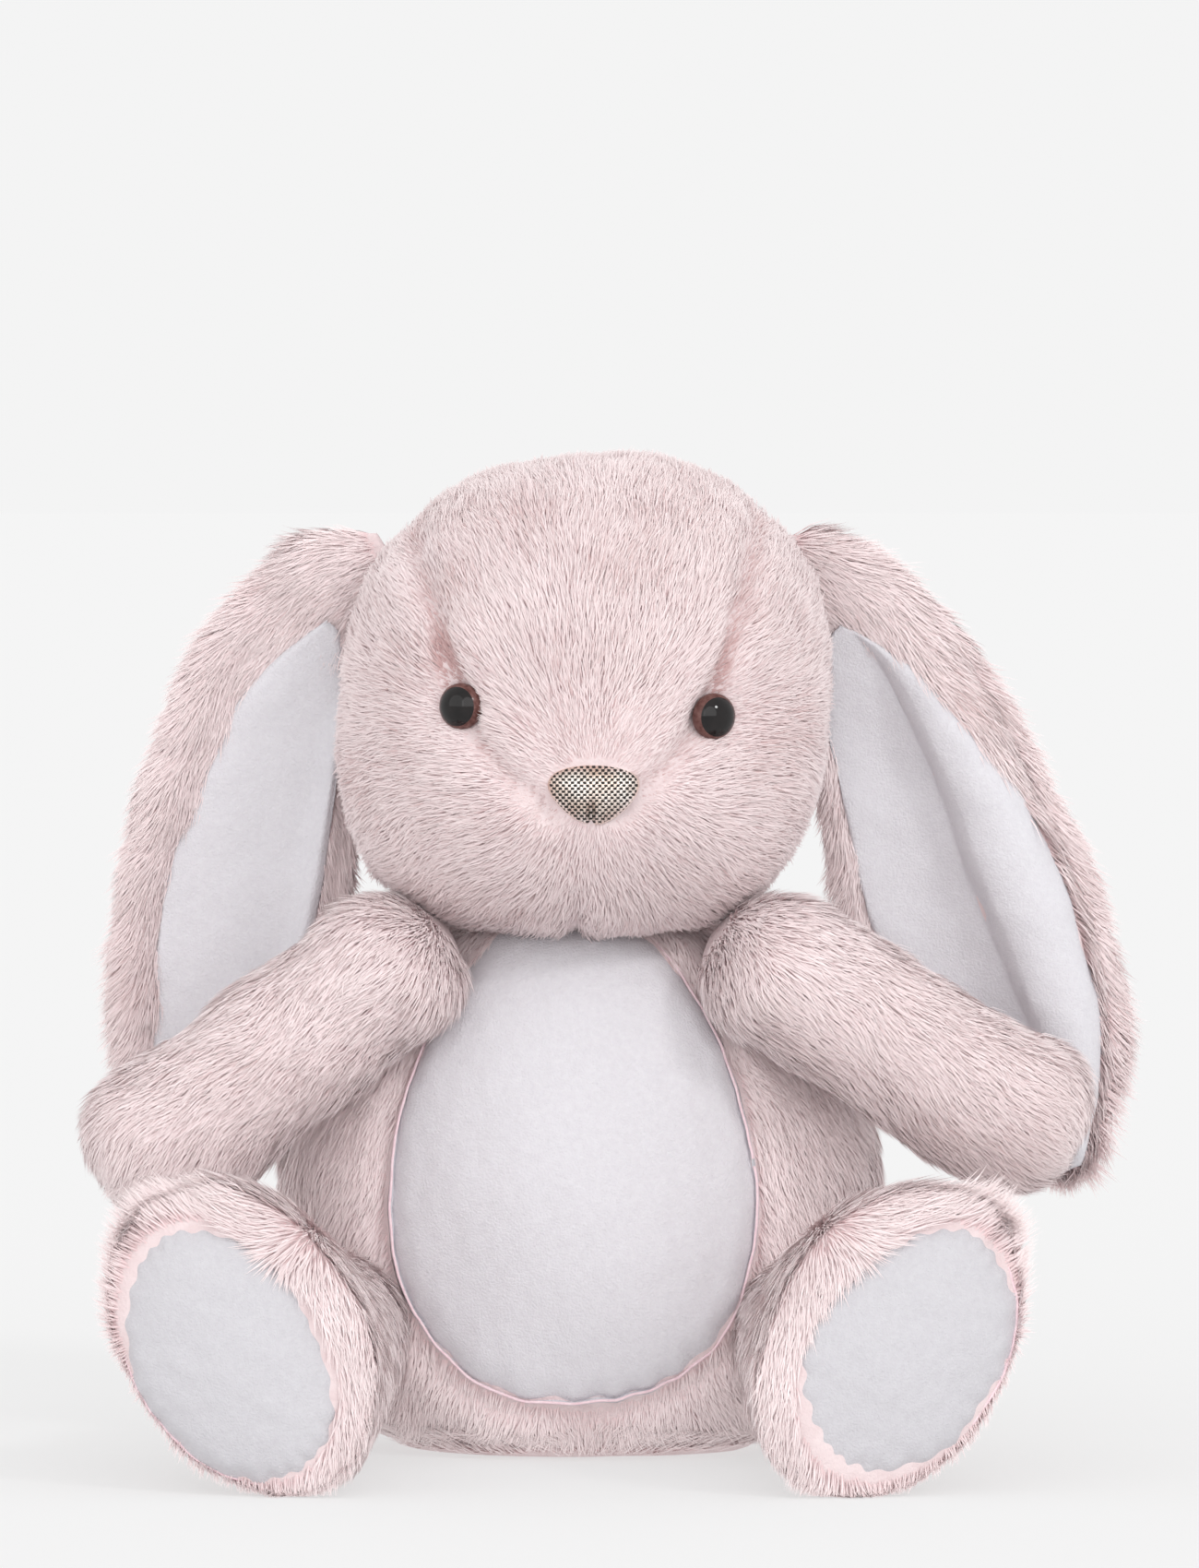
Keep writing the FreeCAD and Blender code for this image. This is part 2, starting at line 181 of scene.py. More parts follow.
class Skin:
    """A surface as vertices and triangles, with smooth normals."""

    def __init__(self, points, faces):
        self.points = points
        self.faces = faces
        self.settle()

    def triangles(self):
        quads = np.array([f for f in self.faces if len(f) == 4]).reshape(-1, 4)
        threes = np.array([f for f in self.faces if len(f) == 3]).reshape(-1, 3)
        return np.vstack([quads[:, [0, 1, 2]], quads[:, [0, 2, 3]], threes]).astype(int)

    def settle(self):
        """Works the normals out again after the points moved."""
        tris = self.triangles()
        corners = self.points[tris]
        facing = np.cross(corners[:, 1] - corners[:, 0], corners[:, 2] - corners[:, 0])
        normals = np.zeros_like(self.points)
        for corner in range(3):
            np.add.at(normals, tris[:, corner], facing)
        self.normals = unit(normals)

    def swell(self, amount):
        """Moves the points along their normals."""
        self.points = self.points + self.normals * amount[:, None]
        self.settle()

    def swell_as_one(self, amount):
        """Moves a sheet's front and back together, along the front's normals."""
        front = self.normals[:len(self.points) // 2]
        self.points = self.points + np.vstack([front, front]) * amount[:, None]
        self.settle()


def ring_faces(count, around):
    """The four-sided faces between closed rings."""
    faces = []
    for row in range(count - 1):
        for step in range(around):
            after = (step + 1) % around
            faces.append((row * around + step, row * around + after,
                          (row + 1) * around + after, (row + 1) * around + step))
    return faces


def skin_from_rows(rows):
    """Closed rings, one per row, made into a closed surface with a point at each end."""
    count, around = rows.shape[:2]
    points = [rows.reshape(-1, 3), rows[0].mean(0)[None], rows[-1].mean(0)[None]]
    faces = ring_faces(count, around)
    first, last = count * around, count * around + 1
    for step in range(around):
        after = (step + 1) % around
        faces.append((first, after, step))
        faces.append((last, (count - 1) * around + step, (count - 1) * around + after))
    return Skin(np.vstack(points), faces)


def plate_from_rows(front, thickness):
    """An open sheet of rows of points, made into a closed sheet of that thickness."""
    count, wide = front.shape[:2]
    quads = []
    for row in range(count - 1):
        for step in range(wide - 1):
            at = row * wide + step
            quads.append((at, at + 1, at + wide + 1, at + wide))
    flat = Skin(front.reshape(-1, 3), quads)
    size = count * wide
    points = np.vstack([flat.points, flat.points - flat.normals * thickness])
    faces = quads + [tuple(size + i for i in reversed(quad)) for quad in quads]
    rim = [step for step in range(wide)]
    rim += [row * wide + wide - 1 for row in range(1, count)]
    rim += [(count - 1) * wide + step for step in range(wide - 2, -1, -1)]
    rim += [row * wide for row in range(count - 2, 0, -1)]
    for index, at in enumerate(rim):
        after = rim[(index + 1) % len(rim)]
        faces.append((after, at, at + size, after + size))
    return Skin(points, faces)


def disc_from_rows(rows, thickness):
    """Rings from a rim to the middle, made into a closed pad of that thickness."""
    count, around = rows.shape[:2]
    points = np.vstack([rows.reshape(-1, 3), rows[-1].mean(0)[None]])
    faces = ring_faces(count, around)
    middle = count * around
    for step in range(around):
        faces.append((middle, (count - 1) * around + step, (count - 1) * around + (step + 1) % around))
    flat = Skin(points, faces)
    size = len(points)
    doubled = np.vstack([points, points - flat.normals * thickness])
    faces = faces + [tuple(size + i for i in reversed(face)) for face in faces]
    for step in range(around):
        after = (step + 1) % around
        faces.append((after, step, step + size, after + size))
    return Skin(doubled, faces)


def sheet_facing(outward, build, rows, thickness):
    """A sheet or pad from rows, with the rows turned round if its front looks the wrong way."""
    skin = build(rows, thickness)
    front = skin.normals[:len(skin.points) // 2].mean(0)
    if front @ outward < 0:
        skin = build(rows[:, ::-1], thickness)
    return skin


def add_object(name, data):
    """A new object in the scene."""
    piece = bpy.data.objects.new(name, data)
    bpy.context.scene.collection.objects.link(piece)
    return piece


def new_mesh(name, skin, material):
    """A Blender object with a skin's shape."""
    mesh = bpy.data.meshes.new(name)
    mesh.from_pydata((skin.points * MM).tolist(), [], [tuple(int(i) for i in f) for f in skin.faces])
    mesh.polygons.foreach_set("use_smooth", [True] * len(mesh.polygons))
    mesh.materials.append(material)
    mesh.update()
    return add_object(name, mesh)


def plush_skin(name, skin, body, fill, *nodes):
    """A stuffed plush cover that stands for some CAD nodes."""
    piece = new_mesh(name, skin, BACKING)
    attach(piece, body)
    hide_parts(*nodes)


def velour_pad(name, skin, material, body, node):
    """A velour panel that stands for one CAD node."""
    piece = new_mesh(name, skin, material)
    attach(piece, body)
    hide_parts(node)


# -------- materials

def new_material(name, colour, roughness, **settings):
    """A principled material and its node tree, with constant values on the shader's own sockets."""
    material = bpy.data.materials.new(name)
    material.use_nodes = True
    nodes = material.node_tree.nodes
    shader = nodes["Principled BSDF"]
    shader.inputs["Base Color"].default_value = (*colour, 1)
    shader.inputs["Roughness"].default_value = roughness
    for socket, value in settings.items():
        shader.inputs[socket.replace("_", " ")].default_value = value
    return material, nodes, material.node_tree.links, shader


def colour_ramp(nodes, *stops):
    """A ramp node through its stops, each a place and a colour."""
    node = nodes.new("ShaderNodeValToRGB")
    elements = node.color_ramp.elements
    for element, (place, colour) in zip(elements, (stops[0], stops[-1])):
        element.position = place
        element.color = (*colour, 1)
    for place, colour in stops[1:-1]:
        elements.new(place).color = (*colour, 1)
    return node


def noise_colour(nodes, links, shader, low, high, scale, detail=4.0):
    """Base colour that wanders between two colours."""
    place = nodes.new("ShaderNodeTexCoord")
    noise = nodes.new("ShaderNodeTexNoise")
    noise.inputs["Scale"].default_value = scale
    noise.inputs["Detail"].default_value = detail
    blend = colour_ramp(nodes, (0.3, low), (0.7, high))
    links.new(place.outputs["Object"], noise.inputs["Vector"])
    links.new(noise.outputs["Fac"], blend.inputs["Fac"])
    links.new(blend.outputs["Color"], shader.inputs["Base Color"])
    return place


def nap_bump(nodes, links, shader, place, scale, strength, distance):
    """Fine relief of a napped cloth."""
    noise = nodes.new("ShaderNodeTexNoise")
    noise.inputs["Scale"].default_value = scale
    noise.inputs["Detail"].default_value = 6.0
    relief = nodes.new("ShaderNodeBump")
    relief.inputs["Strength"].default_value = strength
    relief.inputs["Distance"].default_value = distance
    links.new(place.outputs["Object"], noise.inputs["Vector"])
    links.new(noise.outputs["Fac"], relief.inputs["Height"])
    links.new(relief.outputs["Normal"], shader.inputs["Normal"])


def plush_backing():
    """The pink cloth that the pile grows from."""
    material, nodes, links, shader = new_material("plush_backing", (0.6, 0.42, 0.42), 0.95)
    place = noise_colour(nodes, links, shader, (0.72, 0.58, 0.585), (0.79, 0.67, 0.675), 200)
    nap_bump(nodes, links, shader, place, 900, 0.6, 0.0006)
    return material


def plush_pile():
    """Pile strands: deeper pink at the root, paler at the tip, each strand a little different, and
    darker or paler by its shade, which also holds painted shade and painted light.
    """
    material, nodes, links, shader = new_material(
        "plush_pile", (0.85, 0.72, 0.72), 0.85, Specular_IOR_Level=0.25, Sheen_Weight=0.25,
        Sheen_Roughness=0.6)
    place = nodes.new("ShaderNodeUVMap")
    place.uv_map = "OFBake"
    split = nodes.new("ShaderNodeSeparateXYZ")
    along = colour_ramp(nodes, (0.0, (0.88, 0.64, 0.65)), (0.45, (0.94, 0.80, 0.805)),
                        (0.9, (0.97, 0.870, 0.868)))
    # the shade's deep pink low end is reached by the painted seam shade, its white high end by the
    # painted light
    spread = colour_ramp(nodes, (0.0, (0.60, 0.44, 0.43)), (0.45, (0.87, 0.845, 0.845)),
                         (1.0, (1.0, 1.0, 1.0)))
    blend = nodes.new("ShaderNodeMix")
    blend.data_type = "RGBA"
    blend.blend_type = "MULTIPLY"
    blend.inputs["Factor"].default_value = 1.0
    links.new(place.outputs["UV"], split.inputs["Vector"])
    links.new(split.outputs["Y"], along.inputs["Fac"])
    links.new(split.outputs["X"], spread.inputs["Fac"])
    # a mix node's own colour sockets come after its number and vector ones
    links.new(along.outputs["Color"], blend.inputs[6])
    links.new(spread.outputs["Color"], blend.inputs[7])
    links.new(blend.outputs[2], shader.inputs["Base Color"])
    return material


def white_velour(name, share):
    """Short white pile with a cool tinge; share is how pale it is, and a share below 1 makes a darker
    copy with painted shade.
    """
    material, nodes, links, shader = new_material(
        name, (0.64, 0.62, 0.66), 0.9, Sheen_Weight=0.15, Sheen_Roughness=0.5)
    low = tuple(share * level for level in (0.655, 0.635, 0.672))
    high = tuple(share * level for level in (0.695, 0.68, 0.712))
    place = noise_colour(nodes, links, shader, low, high, 700, 8.0)
    nap_bump(nodes, links, shader, place, 1800, 0.7, 0.0005)
    return material


def pink_thread():
    """Sewing thread."""
    material, nodes, links, shader = new_material("pink_thread", (0.85, 0.6, 0.65), 0.7)
    noise_colour(nodes, links, shader, (0.80, 0.58, 0.63), (0.90, 0.72, 0.76), 700)
    return material


def eye_black():
    """Glossy black pupil."""
    material, nodes, links, shader = new_material(
        "eye_black", (0.006, 0.005, 0.005), 0.08, Specular_IOR_Level=0.35)
    noise_colour(nodes, links, shader, (0.004, 0.003, 0.003), (0.012, 0.009, 0.009), 300)
    return material


def eye_ring():
    """Dusty pink-brown ring round the pupil, under the same gloss."""
    material, nodes, links, shader = new_material(
        "eye_ring", (0.2, 0.09, 0.08), 0.2, Specular_IOR_Level=0.2)
    noise_colour(nodes, links, shader, (0.09, 0.035, 0.03), (0.20, 0.10, 0.09), 900)
    return material


def nose_foil():
    """The bright mesh of the nose: silver gold, worn a little darker in places."""
    material, nodes, links, shader = new_material("nose_foil", (0.8, 0.72, 0.62), 0.28, Metallic=0.85)
    place = noise_colour(nodes, links, shader, (0.66, 0.50, 0.41), (0.94, 0.89, 0.85), 120, 2.0)
    nap_bump(nodes, links, shader, place, 2500, 0.25, 0.0002)
    return material


def nose_holes():
    """The dark cloth that shows through the mesh's holes."""
    material, nodes, links, shader = new_material("nose_holes", (0.06, 0.045, 0.04), 0.8)
    noise_colour(nodes, links, shader, (0.008, 0.005, 0.004), (0.02, 0.014, 0.011), 900)
    return material


def washer_plastic():
    """Moulded white plastic with a faint grain."""
    material, nodes, links, shader = new_material("washer_plastic", (0.8, 0.8, 0.8), 0.5)
    place = noise_colour(nodes, links, shader, (0.76, 0.76, 0.75), (0.84, 0.84, 0.83), 200)
    nap_bump(nodes, links, shader, place, 3000, 0.2, 0.0001)
    return material


BACKING = plush_backing()
PILE = plush_pile()
VELOUR = white_velour("white_velour", 1.0)
# the soles get a darker copy of the velour: painted shade for soles that tilt away from the light
SHADED_SOLE_VELOUR = white_velour("sole_velour_painted_shade", 0.86)
THREAD = pink_thread()


# -------- fur

def scatter(skin, count, weight, seed):
    """Roots spread evenly over a skin where weight is above 0: points, normals."""
    source = np.random.default_rng(seed)
    tris = skin.triangles()
    corners = skin.points[tris]
    across = np.cross(corners[:, 1] - corners[:, 0], corners[:, 2] - corners[:, 0])
    area = 0.5 * np.linalg.norm(across, axis=1)
    facing = skin.normals[tris].mean(1)
    chance = area * weight(corners.mean(1), facing)
    total = np.cumsum(chance)
    wanted = (np.arange(count) + source.random(count)) / count * total[-1]
    pick = np.minimum(np.searchsorted(total, wanted), len(tris) - 1)
    a = np.sqrt(source.random(count))[:, None]
    b = source.random(count)[:, None]
    weights = np.concatenate([1 - a, a * (1 - b), a * b], axis=1)[:, :, None]
    return (corners[pick] * weights).sum(1), unit((skin.normals[tris[pick]] * weights).sum(1))


def clumped(roots, paths, seed):
    """Strand paths drawn towards the path of the nearest clump's own strand."""
    source = np.random.default_rng(seed)
    leaders = source.choice(len(roots), max(len(roots) // CLUMP_SIZE, 1), replace=False)
    tree = KDTree(len(leaders))
    for index, leader in enumerate(leaders):
        tree.insert(roots[leader], index)
    tree.balance()
    nearest = np.array([leaders[tree.find(root)[1]] for root in roots])
    share = CLUMP_PULL * source.uniform(0.5, 1.3, len(roots))
    strength = share[:, None, None] * (STRAND_STEPS ** 1.5)[None, :, None]
    return paths + (paths[nearest] - paths) * np.clip(strength, 0, 0.95)


def no_tint(points):
    """The usual shade everywhere."""
    return np.zeros(len(points))


def paler_tone_and_painted_light(points):
    """Slightly paler pile for the body and the limbs: painted light that lifts their shade, together
    with their own paler tone.
    """
    return np.full(len(points), 0.06)


def fur(name, body, skin, count, length, comb, weight, seed, lift=0.24, tint=no_tint):
    """A piece of pile: tapered strands that lie the way comb says, darker where tint is below 0 and
    paler where it is above; tint holds painted shade and painted light, with some of the pile's own
    tone.
    """
    source = np.random.default_rng(seed)
    roots, normals = scatter(skin, count, weight, seed + 1)
    lay = comb(roots, normals)
    lay = unit(lay - (lay * normals).sum(1, keepdims=True) * normals)
    side = np.cross(normals, lay)
    swirl = 0.17 * waves(roots, 12.0, seed + 2) + source.normal(0, 0.13, count)
    lay = lay * np.cos(swirl)[:, None] + side * np.sin(swirl)[:, None]
    side = np.cross(normals, lay)
    reach = length(roots) * source.uniform(0.78, 1.12, count) * (1 + 0.10 * waves(roots, 7.0, seed + 3))
    rise = lift * (1 + 0.22 * waves(roots, 6.0, seed + 4)) + source.normal(0, 0.06, count)
    rise = np.clip(rise, 0.12, 0.85)
    curl = source.normal(0, 0.10, count)
    steps = STRAND_STEPS[None, :, None]
    up = normals[:, None] * (reach * rise)[:, None, None] * (1 - (1 - steps) ** 2)
    out = lay[:, None] * (reach * np.sqrt(1 - rise ** 2))[:, None, None] * steps ** 1.25
    turn = side[:, None] * (reach * curl)[:, None, None] * steps ** 2
    paths = roots[:, None] - normals[:, None] * STRAND_SINK + up + out + turn
    paths = clumped(roots, paths, seed + 5)
    roll = source.normal(0, 0.35, count)
    flat = side * np.cos(roll)[:, None] + normals * np.sin(roll)[:, None]
    strands(name, body, paths, flat, normals, tint(roots), source)


def strands(name, body, paths, flat, normals, tint, source):
    """The mesh of a piece of pile, with each strand's shade and place along it as its UV."""
    count = len(paths)
    facing = np.cross(flat, paths[:, 2] - paths[:, 0])
    outward = np.sign((facing * normals).sum(1, keepdims=True))
    flat = flat * outward
    scale = source.uniform(0.75, 1.2, count)
    each = len(STRAND_PLACES)
    points = np.empty((count, each, 3))
    for step, width in enumerate(STRAND_WIDTHS):
        half = flat * (width * 0.5 * scale)[:, None]
        points[:, 2 * step] = paths[:, step] - half
        points[:, 2 * step + 1] = paths[:, step] + half
    points[:, 4] = paths[:, 2]
    points[:, :, 2] = np.maximum(points[:, :, 2], STRAND_LOWEST)
    first = (np.arange(count) * each)[:, None]
    loops = np.hstack([first + np.array([0, 1, 3, 2]), first + np.array([2, 3, 4])]).reshape(-1)
    starts = (np.arange(count)[:, None] * STRAND_CORNERS + np.array([0, 4])).reshape(-1)
    mesh = bpy.data.meshes.new(name)
    mesh.vertices.add(count * each)
    mesh.vertices.foreach_set("co", (points * MM).reshape(-1))
    mesh.loops.add(len(loops))
    mesh.loops.foreach_set("vertex_index", loops.astype(np.int32))
    mesh.polygons.add(len(starts))
    mesh.polygons.foreach_set("loop_start", starts.astype(np.int32))
    mesh.polygons.foreach_set("use_smooth", np.ones(len(starts), bool))
    mesh.update(calc_edges=True)
    # each strand's shade: random tone, plus the tint with its painted shade and painted light
    shade = USUAL_SHADE + 0.08 * waves(paths[:, 0], 14.0, 77) + source.normal(0, 0.11, count) + tint
    shade = np.clip(shade, 0.02, 0.98)
    layer = mesh.uv_layers.new(name="OFBake")
    along = np.clip(STRAND_PLACES, 0.02, 0.98)
    uv = np.stack([np.repeat(shade, each), np.tile(along, count)], axis=1)
    layer.data.foreach_set("uv", uv[loops].astype(np.float32).reshape(-1))
    own = unit(facing * outward)
    tips = unit(paths[:, 2] - paths[:, 0])
    soft = unit(normals * 0.9 + own * 0.18 + tips * 0.08)
    mesh.normals_split_custom_set_from_vertices(np.repeat(soft, each, axis=0))
    mesh.materials.append(PILE)
    piece = add_object(name, mesh)
    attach(piece, body)


# -------- head

HEAD_PANELS = ["head_face_panel_left", "head_face_panel_right", "head_forehead_gusset",
               "head_back_panel_left", "head_back_panel_right"]
head_low, head_high = box_of(*HEAD_PANELS)
HEAD_CENTRE = (head_low + head_high) / 2
HEAD_HALF = (head_high - head_low) / 2 * np.array([1, 1, 1 / math.sin(math.radians(CAD_EGG_END))])
nose_low, nose_high = box_of("nose_cover")
NOSE = (nose_low + nose_high) / 2
NOSE_HALF = (nose_high - nose_low) / 2


def egg_rows(centre, half_wide, half_deep, up, down, square_up, square_down, count, around):
    """Rings of an egg whose sections are ellipses, from its bottom to its top."""
    levels = np.sin(np.linspace(-math.pi / 2 + 0.04, math.pi / 2 - 0.04, count))
    power = np.where(levels > 0, square_up, square_down)
    width = (1 - np.abs(levels) ** power) ** (1 / power)
    height = centre[2] + levels * np.where(levels > 0, up, down)
    angle = np.linspace(0, 2 * math.pi, around, endpoint=False)
    rows = np.empty((count, around, 3))
    rows[:, :, 0] = centre[0] + width[:, None] * half_wide * np.cos(angle)
    rows[:, :, 1] = centre[1] + width[:, None] * half_deep * np.sin(angle)
    rows[:, :, 2] = height[:, None]
    return rows


def from_gusset_seam(points):
    """Distance in the front view from the nearer forehead seam, for points on the face."""
    edge = np.array(GUSSET_EDGE, float)
    line = smooth_path(edge, np.linspace(0, len(edge) - 1, 60))
    x = np.abs(points[:, 0] - HEAD_CENTRE[0])
    gap = np.full(len(points), 99.0)
    for place in line:
        gap = np.minimum(gap, np.hypot(x - place[0], points[:, 2] - place[1]))
    return np.where(points[:, 1] < HEAD_CENTRE[1], gap, 99.0)


def eye_centre(side):
    """The eye's place on the plain egg of the head, and the way it looks."""
    x, z = EYE_PLACE[side]
    level = (z - HEAD_CENTRE[2]) / HEAD_HALF[2]
    power = CROWN_SQUARENESS if level > 0 else CHEEK_SQUARENESS
    width = (1 - abs(level) ** power) ** (1 / power)
    sideways = (x - HEAD_CENTRE[0]) / (width * HEAD_HALF[0])
    ahead = math.sqrt(1 - sideways ** 2)
    point = np.array([x, HEAD_CENTRE[1] - ahead * width * HEAD_HALF[1], z])
    normal = unit(np.array([sideways / HEAD_HALF[0], -ahead / HEAD_HALF[1], level / HEAD_HALF[2]]))
    return point, normal


def shape_head():
    """The head's cloth with its muzzle, cheeks, seams and eye hollows."""
    rows = egg_rows(HEAD_CENTRE, HEAD_HALF[0], HEAD_HALF[1], HEAD_HALF[2] + CROWN_LOFT, HEAD_HALF[2],
                    CROWN_SQUARENESS, CHEEK_SQUARENESS, EGG_RINGS, EGG_AROUND)
    rows[:, :, 0] += HEAD_LEAN * (rows[:, :, 2] - HEAD_CENTRE[2])
    skin = skin_from_rows(rows)
    p = skin.points
    front = ramp(HEAD_CENTRE[1] - p[:, 1], -5, 25)
    x, z = p[:, 0], p[:, 2]
    muzzle = 4.0 * hill(x, NOSE[0], 24) * hill(z, NOSE[2] - 5, 19)
    cheeks = 2.2 * (hill(x, NOSE[0] - 33, 20) + hill(x, NOSE[0] + 33, 20)) * hill(z, NOSE[2] - 12, 20)
    seam = -2.8 * hill(from_gusset_seam(p), 0, 3.0)
    chin = -2.6 * hill(x, NOSE[0] - 4, 2.6) * ramp(NOSE[2] - 18 - z, 0, 14)
    hollow = np.zeros(len(p))
    for side in SIDES:
        centre, _ = eye_centre(side)
        gap = np.linalg.norm(p - centre, axis=1)
        hollow += -3.0 * hill(gap, 0, 8.5)
        above = np.linalg.norm(p - (centre + UP * 11), axis=1)
        hollow += 1.6 * hill(above, 0, 9)
    skin.swell(front * (muzzle + cheeks + seam + chin + hollow) + 0.8 * waves(p, 26, 3))
    return skin


def seam_and_brow_painted_shade(points):
    """A touch darker pile over the face, with painted shade in the creases of the forehead seams, most
    of all above the eyes.
    """
    seam = hill(from_gusset_seam(points), 0, 2.2)
    brow_painted_shade = np.zeros(len(points))
    # painted shade above the eyes, heavier over the left eye, which lies away from the key light
    for side, strength in (("left", 0.9), ("right", 0.5)):
        centre, _ = eye_centre(side)
        brow_painted_shade = brow_painted_shade + strength * hill(points[:, 2], centre[2] + 9, 6) * hill(points[:, 0], centre[0], 9)
    return -0.07 - seam * (0.28 + 1.2 * brow_painted_shade)


def head_comb(points, normals):
    """Outward from the nose, down over the cheeks, and back over the crown."""
    away = points - (NOSE + np.array([0, 6.0, 0]))
    near = np.linalg.norm(away[:, [0, 2]], axis=1)
    lay = unit(away)
    sink = 0.35 * ramp(near, 15, 60) * ramp(HEAD_CENTRE[2] + 25 - points[:, 2], 0, 30)
    behind = ramp(points[:, 1] - HEAD_CENTRE[1], 0, 35)
    return lay - UP * (sink + 1.4 * behind)[:, None]


def make_head():
    """The stuffed head and its pile; returns the cloth's surface."""
    skin = shape_head()
    plush_skin("head_skin", skin, "head", 0.85, "head_stuffing", *HEAD_PANELS)

    def clear_of_face(points):
        keep = np.ones(len(points))
        for side in SIDES:
            centre, _ = eye_centre(side)
            keep *= np.linalg.norm(points - centre, axis=1) > EYE_RADIUS - 0.6
        inside = np.hypot((points[:, 0] - NOSE[0]) / (NOSE_HALF[0] - 0.5),
                          (points[:, 2] - NOSE[2]) / (NOSE_HALF[2] - 0.3)) < 1
        return keep * ~(inside & (points[:, 1] < HEAD_CENTRE[1]))

    def length(points):
        centres = [eye_centre(side)[0] for side in SIDES]
        gap = np.min([np.linalg.norm(points - centre, axis=1) for centre in centres], axis=0)
        nose_gap = np.linalg.norm(points - NOSE, axis=1)
        short = np.minimum(ramp(gap, 4, 16), ramp(nose_gap, 9, 32))
        seam = 1 - 0.45 * hill(from_gusset_seam(points), 0, 4)
        return (3.2 + 3.6 * short) * seam

    front = HEAD_CENTRE[1] - 8
    fur("head_face_pile", "head", skin, STRANDS["head_face"], length, head_comb,
        lambda p, n: clear_of_face(p) * (p[:, 1] < front), 11, lift=0.26, tint=seam_and_brow_painted_shade)
    fur("head_back_pile", "head", skin, STRANDS["head_back"], length, head_comb,
        lambda p, n: (p[:, 1] >= front) * 1.0, 12, lift=0.27)
    return skin


def make_eye(side):
    """A domed eye: a black pupil inside a pink-brown ring."""
    centre, outward = eye_centre(side)
    centre = centre - outward * EYE_SINK
    first = unit(np.cross(UP, outward))
    second = np.cross(outward, first)
    angle = np.linspace(0, 2 * math.pi, 48, endpoint=False)
    rows = []
    ring = np.cos(angle)[:, None] * first + np.sin(angle)[:, None] * second
    for tilt in np.linspace(math.radians(100), math.radians(4), 26):
        dome = outward * EYE_RADIUS * math.cos(tilt) * EYE_FLATNESS
        rows.append(centre + ring * EYE_RADIUS * math.sin(tilt) + dome)
    skin = skin_from_rows(np.array(rows))
    piece = new_mesh("eye_%s_dome" % side, skin, eye_ring())
    piece.data.materials.append(eye_black())
    for face in piece.data.polygons:
        offset = np.array(face.center) / MM - centre
        radius = np.linalg.norm(offset - outward * (offset @ outward))
        face.material_index = int(radius < EYE_RADIUS * PUPIL_SHARE and offset @ outward > 0)
    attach(piece, "head")
    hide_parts("eye_" + side)


def make_nose(head_skin):
    """A padded nose in dotted metallic mesh, gathered at its lower middle."""
    wide, high = 150, 110
    u = np.linspace(-1, 1, wide)
    v = np.linspace(-1, 1, high)
    grid_u, grid_v = np.meshgrid(u, v)
    # a square grid pressed into a disc, then into a soft triangle
    disc_u = grid_u * np.sqrt(1 - grid_v ** 2 / 2)
    disc_v = grid_v * np.sqrt(1 - grid_u ** 2 / 2)
    radius = np.hypot(disc_u, disc_v)
    x = disc_u * NOSE_HALF[0] * (1 + 0.24 * disc_v - 0.05)
    z = disc_v * NOSE_HALF[2] * (1 - 0.12 * disc_v)
    dome = NOSE_DOME * np.clip(1 - radius ** 2.6, 0, 1) ** 0.55
    gather = hill(x, -0.6, 0.9) * ramp(-z, 1.0, 6.0)
    dome = dome - 2.6 * gather
    # rows of holes half a pitch apart, every other row shifted by half a pitch
    row = np.round(z / (MESH_PITCH / 2))
    shift = (row % 2) * MESH_PITCH / 2
    column = np.round((x - shift) / MESH_PITCH)
    gap = np.hypot(x - shift - column * MESH_PITCH, z - row * MESH_PITCH / 2)
    inside = (gap < MESH_HOLE) & (radius < 0.97)
    dome = dome - 0.10 * inside
    back = head_front_y(head_skin, NOSE[0], NOSE[2])
    rows = np.stack([NOSE[0] + x, back + 1.0 - dome, NOSE[2] + z], axis=2)
    skin = plate_from_rows(rows, 0.8)
    piece = new_mesh("nose_mesh_cover", skin, nose_foil())
    piece.data.materials.append(nose_holes())
    per_quad = inside[:-1, :-1] & inside[1:, 1:]
    marks = np.zeros(len(piece.data.polygons), np.int32)
    marks[:per_quad.size] = per_quad.reshape(-1)
    piece.data.polygons.foreach_set("material_index", marks)
    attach(piece, "head")
    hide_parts("nose_cover", "nose_padding")


def head_front_y(skin, x, z):
    """How far forward the head's cloth is at X and Z."""
    near = np.hypot(skin.points[:, 0] - x, skin.points[:, 2] - z) < 4
    near &= skin.points[:, 1] < HEAD_CENTRE[1]
    return skin.points[near][:, 1].mean()


# -------- body

body_low, body_high = box_of("body_side_panel_left", "body_side_panel_right",
                             "body_back_panel_left", "body_back_panel_right")
body_middle = (body_low + body_high) / 2
BODY_CENTRE = np.array([body_middle[0], body_middle[1], BODY_MIDDLE])
BODY_HALF = (body_high - body_low) / 2


def tummy_radius(points):
    """0 in the middle of the tummy panel's egg, 1 on its edge, seen from the front."""
    v = (points[..., 2] - TUMMY_CENTRE[1]) / TUMMY_HALF[1]
    u = (points[..., 0] - TUMMY_CENTRE[0]) / (TUMMY_HALF[0] * (1 - TUMMY_EGG * np.clip(v, -1, 1)))
    return np.hypot(u, v)


def body_swell(p):
    """The stuffed shape's departures from a plain pear."""
    front = ramp(-p[:, 1], 5, 25)
    edge = tummy_radius(p)
    seam = -1.8 * hill(edge, 1.0, 0.045)
    belly = 2.0 * ramp(1 - edge, 0, 0.9)
    flanks = 4.0 * ramp(np.abs(p[:, 0]), 42, 66) * hill(p[:, 2], 80, 32)
    return front * (seam + belly) + flanks + 1.0 * waves(p, 34, 21)


